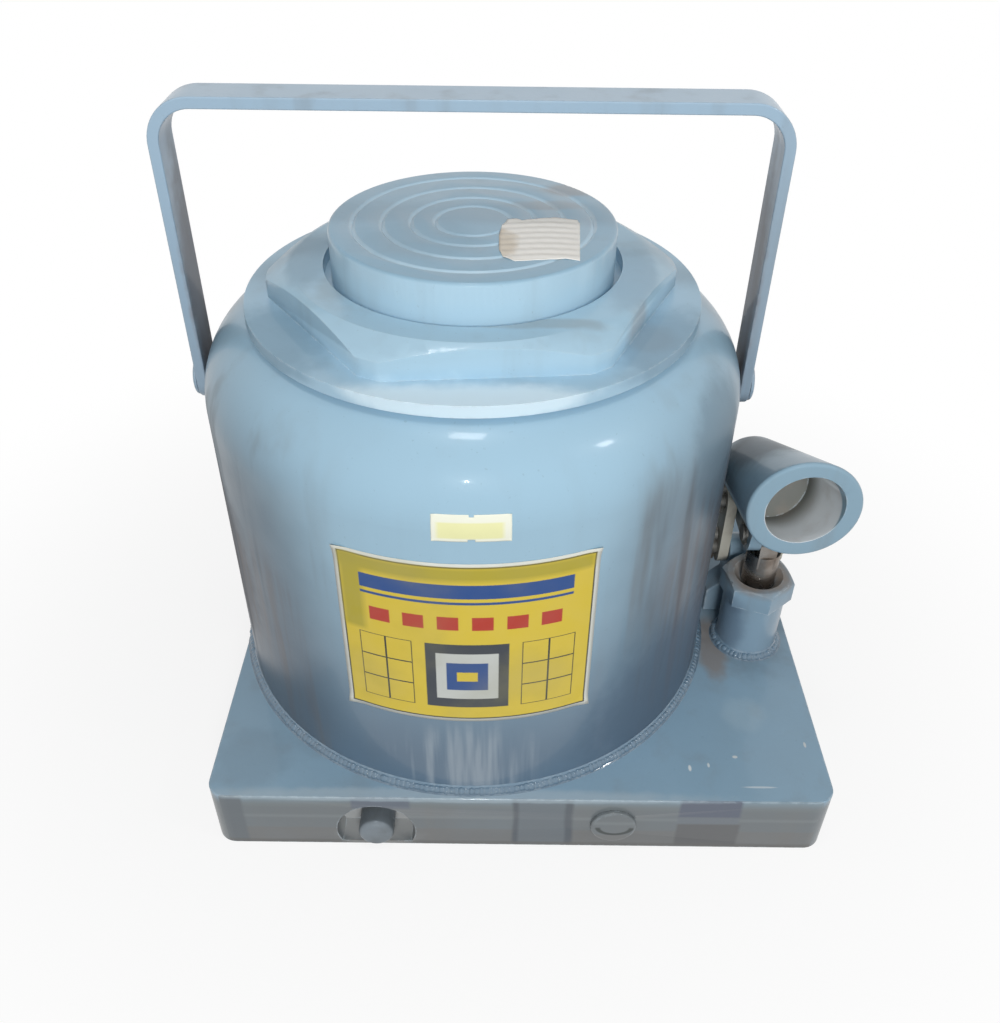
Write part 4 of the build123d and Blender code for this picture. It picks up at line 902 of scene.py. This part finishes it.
def tape(name, corners, material):
    xs = [x for x, _ in corners]
    ys = [y for _, y in corners]
    columns = int((max(xs) - min(xs)) / (2 * FINE_STEP))
    rows = int((max(ys) - min(ys)) / FINE_STEP)
    mesh = bpy.data.meshes.new(name)
    work = bmesh.new()
    face = work.faces.new([work.verts.new((x, y, 0)) for x, y in corners])
    if face.normal.z < 0:
        face.normal_flip()
    cut(work, min(xs), max(xs), columns, (1, 0, 0))
    cut(work, min(ys), max(ys), rows, (0, 1, 0))
    for vert in work.verts:
        crepe = math.sin(vert.co.y / CREPE_PITCH * 2 * math.pi + 1.3 * math.sin(vert.co.x * 160))
        ragged = math.sin(vert.co.x * 900 + vert.co.y * 700)
        vert.co.z = HEAD_TOP + TAPE_THICKNESS + (1 + crepe) * CREPE_HEIGHT + 0.4 * CREPE_HEIGHT * ragged
    bmesh.ops.recalc_face_normals(work, faces=work.faces)
    for face in work.faces:
        face.smooth = True
        if face.normal.z < 0:
            face.normal_flip()
    work.to_mesh(mesh)
    work.free()
    mesh.materials.append(material)
    piece = bpy.data.objects.new(name, mesh)
    scene.collection.objects.link(piece)
    thickness = piece.modifiers.new("Crepe", "SOLIDIFY")
    thickness.thickness = TAPE_THICKNESS
    thickness.offset = -1.0
    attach(piece, "ram")
    print(name, len(mesh.polygons), "faces")


# %% Make the tape
tape_paper, tree, place, shader = new_material("crepe tape")
# Lighter and darker stripes at the crepe's pitch: painted shade of the ribs.
rib_shade = maths(tree, "SINE", times(tree, axes(tree, place)["Y"], 2 * math.pi / CREPE_PITCH))
shade = lay(tree, spread(tree, rib_shade, -1, 1, 0.2, 0.5), colour(240, 236, 228), colour(252, 250, 246))
glue = use(tree, smudge_tree, {"Place": place, "Centre": (0.012, -0.022, HEAD_TOP),
                               "Size": (0.007, 0.016, 0.01), "Ragged": 1.2})["Mask"]
shade = lay(tree, times(tree, glue, 0.6), shade, colour(206, 190, 166))
tree.links.new(shade, shader["Base Color"])
tree.links.new(bump(tree, cloud(tree, place, scale=900), 0.3, 0.0002), shader["Normal"])
shader["Roughness"].default_value = 0.8
tape("tape_scrap", TORN_OUTLINE, tape_paper)

# %% [markdown]
# ## Floor, lamps and camera
# The ground of the picture is plain white. White light from everywhere would wash the enamel out, so the
# floor and the world are white only to the camera, to reflections and through glass, and the light on the
# jack stays at a studio level. Near the jack the floor is part paint, which keeps the jack's shadow.

# %% Floor
FLOOR_REACH = 30.0


def seen(tree):
    """One for rays of the camera, reflections and glass, and zero for the light that falls on the jack."""
    rays = put(tree, "ShaderNodeLightPath").outputs
    mirrored = maths(tree, "ADD", rays["Is Glossy Ray"], rays["Is Transmission Ray"])
    return maths(tree, "ADD", rays["Is Camera Ray"], mirrored, clamp=True)


floor_mesh = bpy.data.meshes.new("floor")
floor_corners = [(x * FLOOR_REACH, y * FLOOR_REACH, 0) for x, y in ((-1, -1), (1, -1), (1, 1), (-1, 1))]
floor_mesh.from_pydata(floor_corners, [], [(0, 1, 2, 3)])
floor = bpy.data.objects.new("floor", floor_mesh)
scene.collection.objects.link(floor)
floor_paint = bpy.data.materials.new("floor paint")
floor_paint.use_nodes = True
tree = floor_paint.node_tree
matt = put(tree, "ShaderNodeBsdfDiffuse", {"Color": (0.3, 0.3, 0.3, 1)}).outputs[0]
pale = put(tree, "ShaderNodeBsdfDiffuse", {"Color": (0.9, 0.9, 0.9, 1)}).outputs[0]
white = put(tree, "ShaderNodeEmission", {"Color": (1, 1, 1, 1), "Strength": 1.0}).outputs[0]
away = vector(tree, "LENGTH", put(tree, "ShaderNodeTexCoord").outputs["Object"])
near_to_far = spread(tree, away, 0.12, 0.42, 0.8, 1.0)
shown = put(tree, "ShaderNodeMixShader", {0: near_to_far, 1: pale, 2: white}).outputs[0]
both = put(tree, "ShaderNodeMixShader", {0: seen(tree), 1: matt, 2: shown}).outputs[0]
tree.links.new(both, tree.nodes["Material Output"].inputs["Surface"])
floor_mesh.materials.append(floor_paint)
print("floor", 2 * FLOOR_REACH, "m wide")

# %% World
world = bpy.data.worlds.new("studio")
scene.world = world
world.use_nodes = True
tree = world.node_tree
background = tree.nodes["Background"].inputs
tree.links.new(spread(tree, seen(tree), 0.0, 1.0, 0.25, 1.0, smooth=False), background["Strength"])
background["Color"].default_value = (1, 1, 1, 1)
print("world", world.name)

# %% Lamps


def lamp(name, spot, aim, size, power, mirrored=True):
    light = bpy.data.lights.new(name, "AREA")
    light.energy = power
    light.shape = "SQUARE"
    light.size = size
    holder = bpy.data.objects.new(name, light)
    scene.collection.objects.link(holder)
    holder.location = spot
    holder.rotation_euler = (Vector(aim) - Vector(spot)).to_track_quat("-Z", "Y").to_euler()
    holder.visible_glossy = mirrored
    print(name, power, "W")


lamp("front softbox", (0.12, -1.35, 0.82), (0, 0, 0.15), 0.5, 15, mirrored=False)
lamp("ceiling lamp", (-0.03, -0.16, 1.25), (0, 0, 0.15), 0.16, 1.3)
lamp("right lamp", (0.85, -0.42, 1.0), (0, 0, 0.15), 0.1, 0.8)
lamp("front spark", (-0.03, -1.25, 0.88), (0, 0, 0.1), 0.06, 0.9)

# %% Camera
PITCH_DOWN, ROLL = 0.6669, 0.0117
camera_data = bpy.data.cameras.new("camera")
camera_data.lens = 34.69
camera_data.sensor_width = 36.0
camera = bpy.data.objects.new("camera", camera_data)
scene.collection.objects.link(camera)
ahead = Vector((0, math.cos(PITCH_DOWN), -math.sin(PITCH_DOWN)))
right = Vector((1, 0, 0))
up = right.cross(ahead)
turned_right = right * math.cos(ROLL) + up * math.sin(ROLL)
turned_up = up * math.cos(ROLL) - right * math.sin(ROLL)
pose = Matrix((turned_right, turned_up, -ahead)).transposed().to_4x4()
pose.translation = Vector((0.01224, -0.38452, 0.40354))
camera.matrix_world = pose
scene.camera = camera
scene.view_settings.view_transform = "Standard"
print("camera at", tuple(pose.translation))
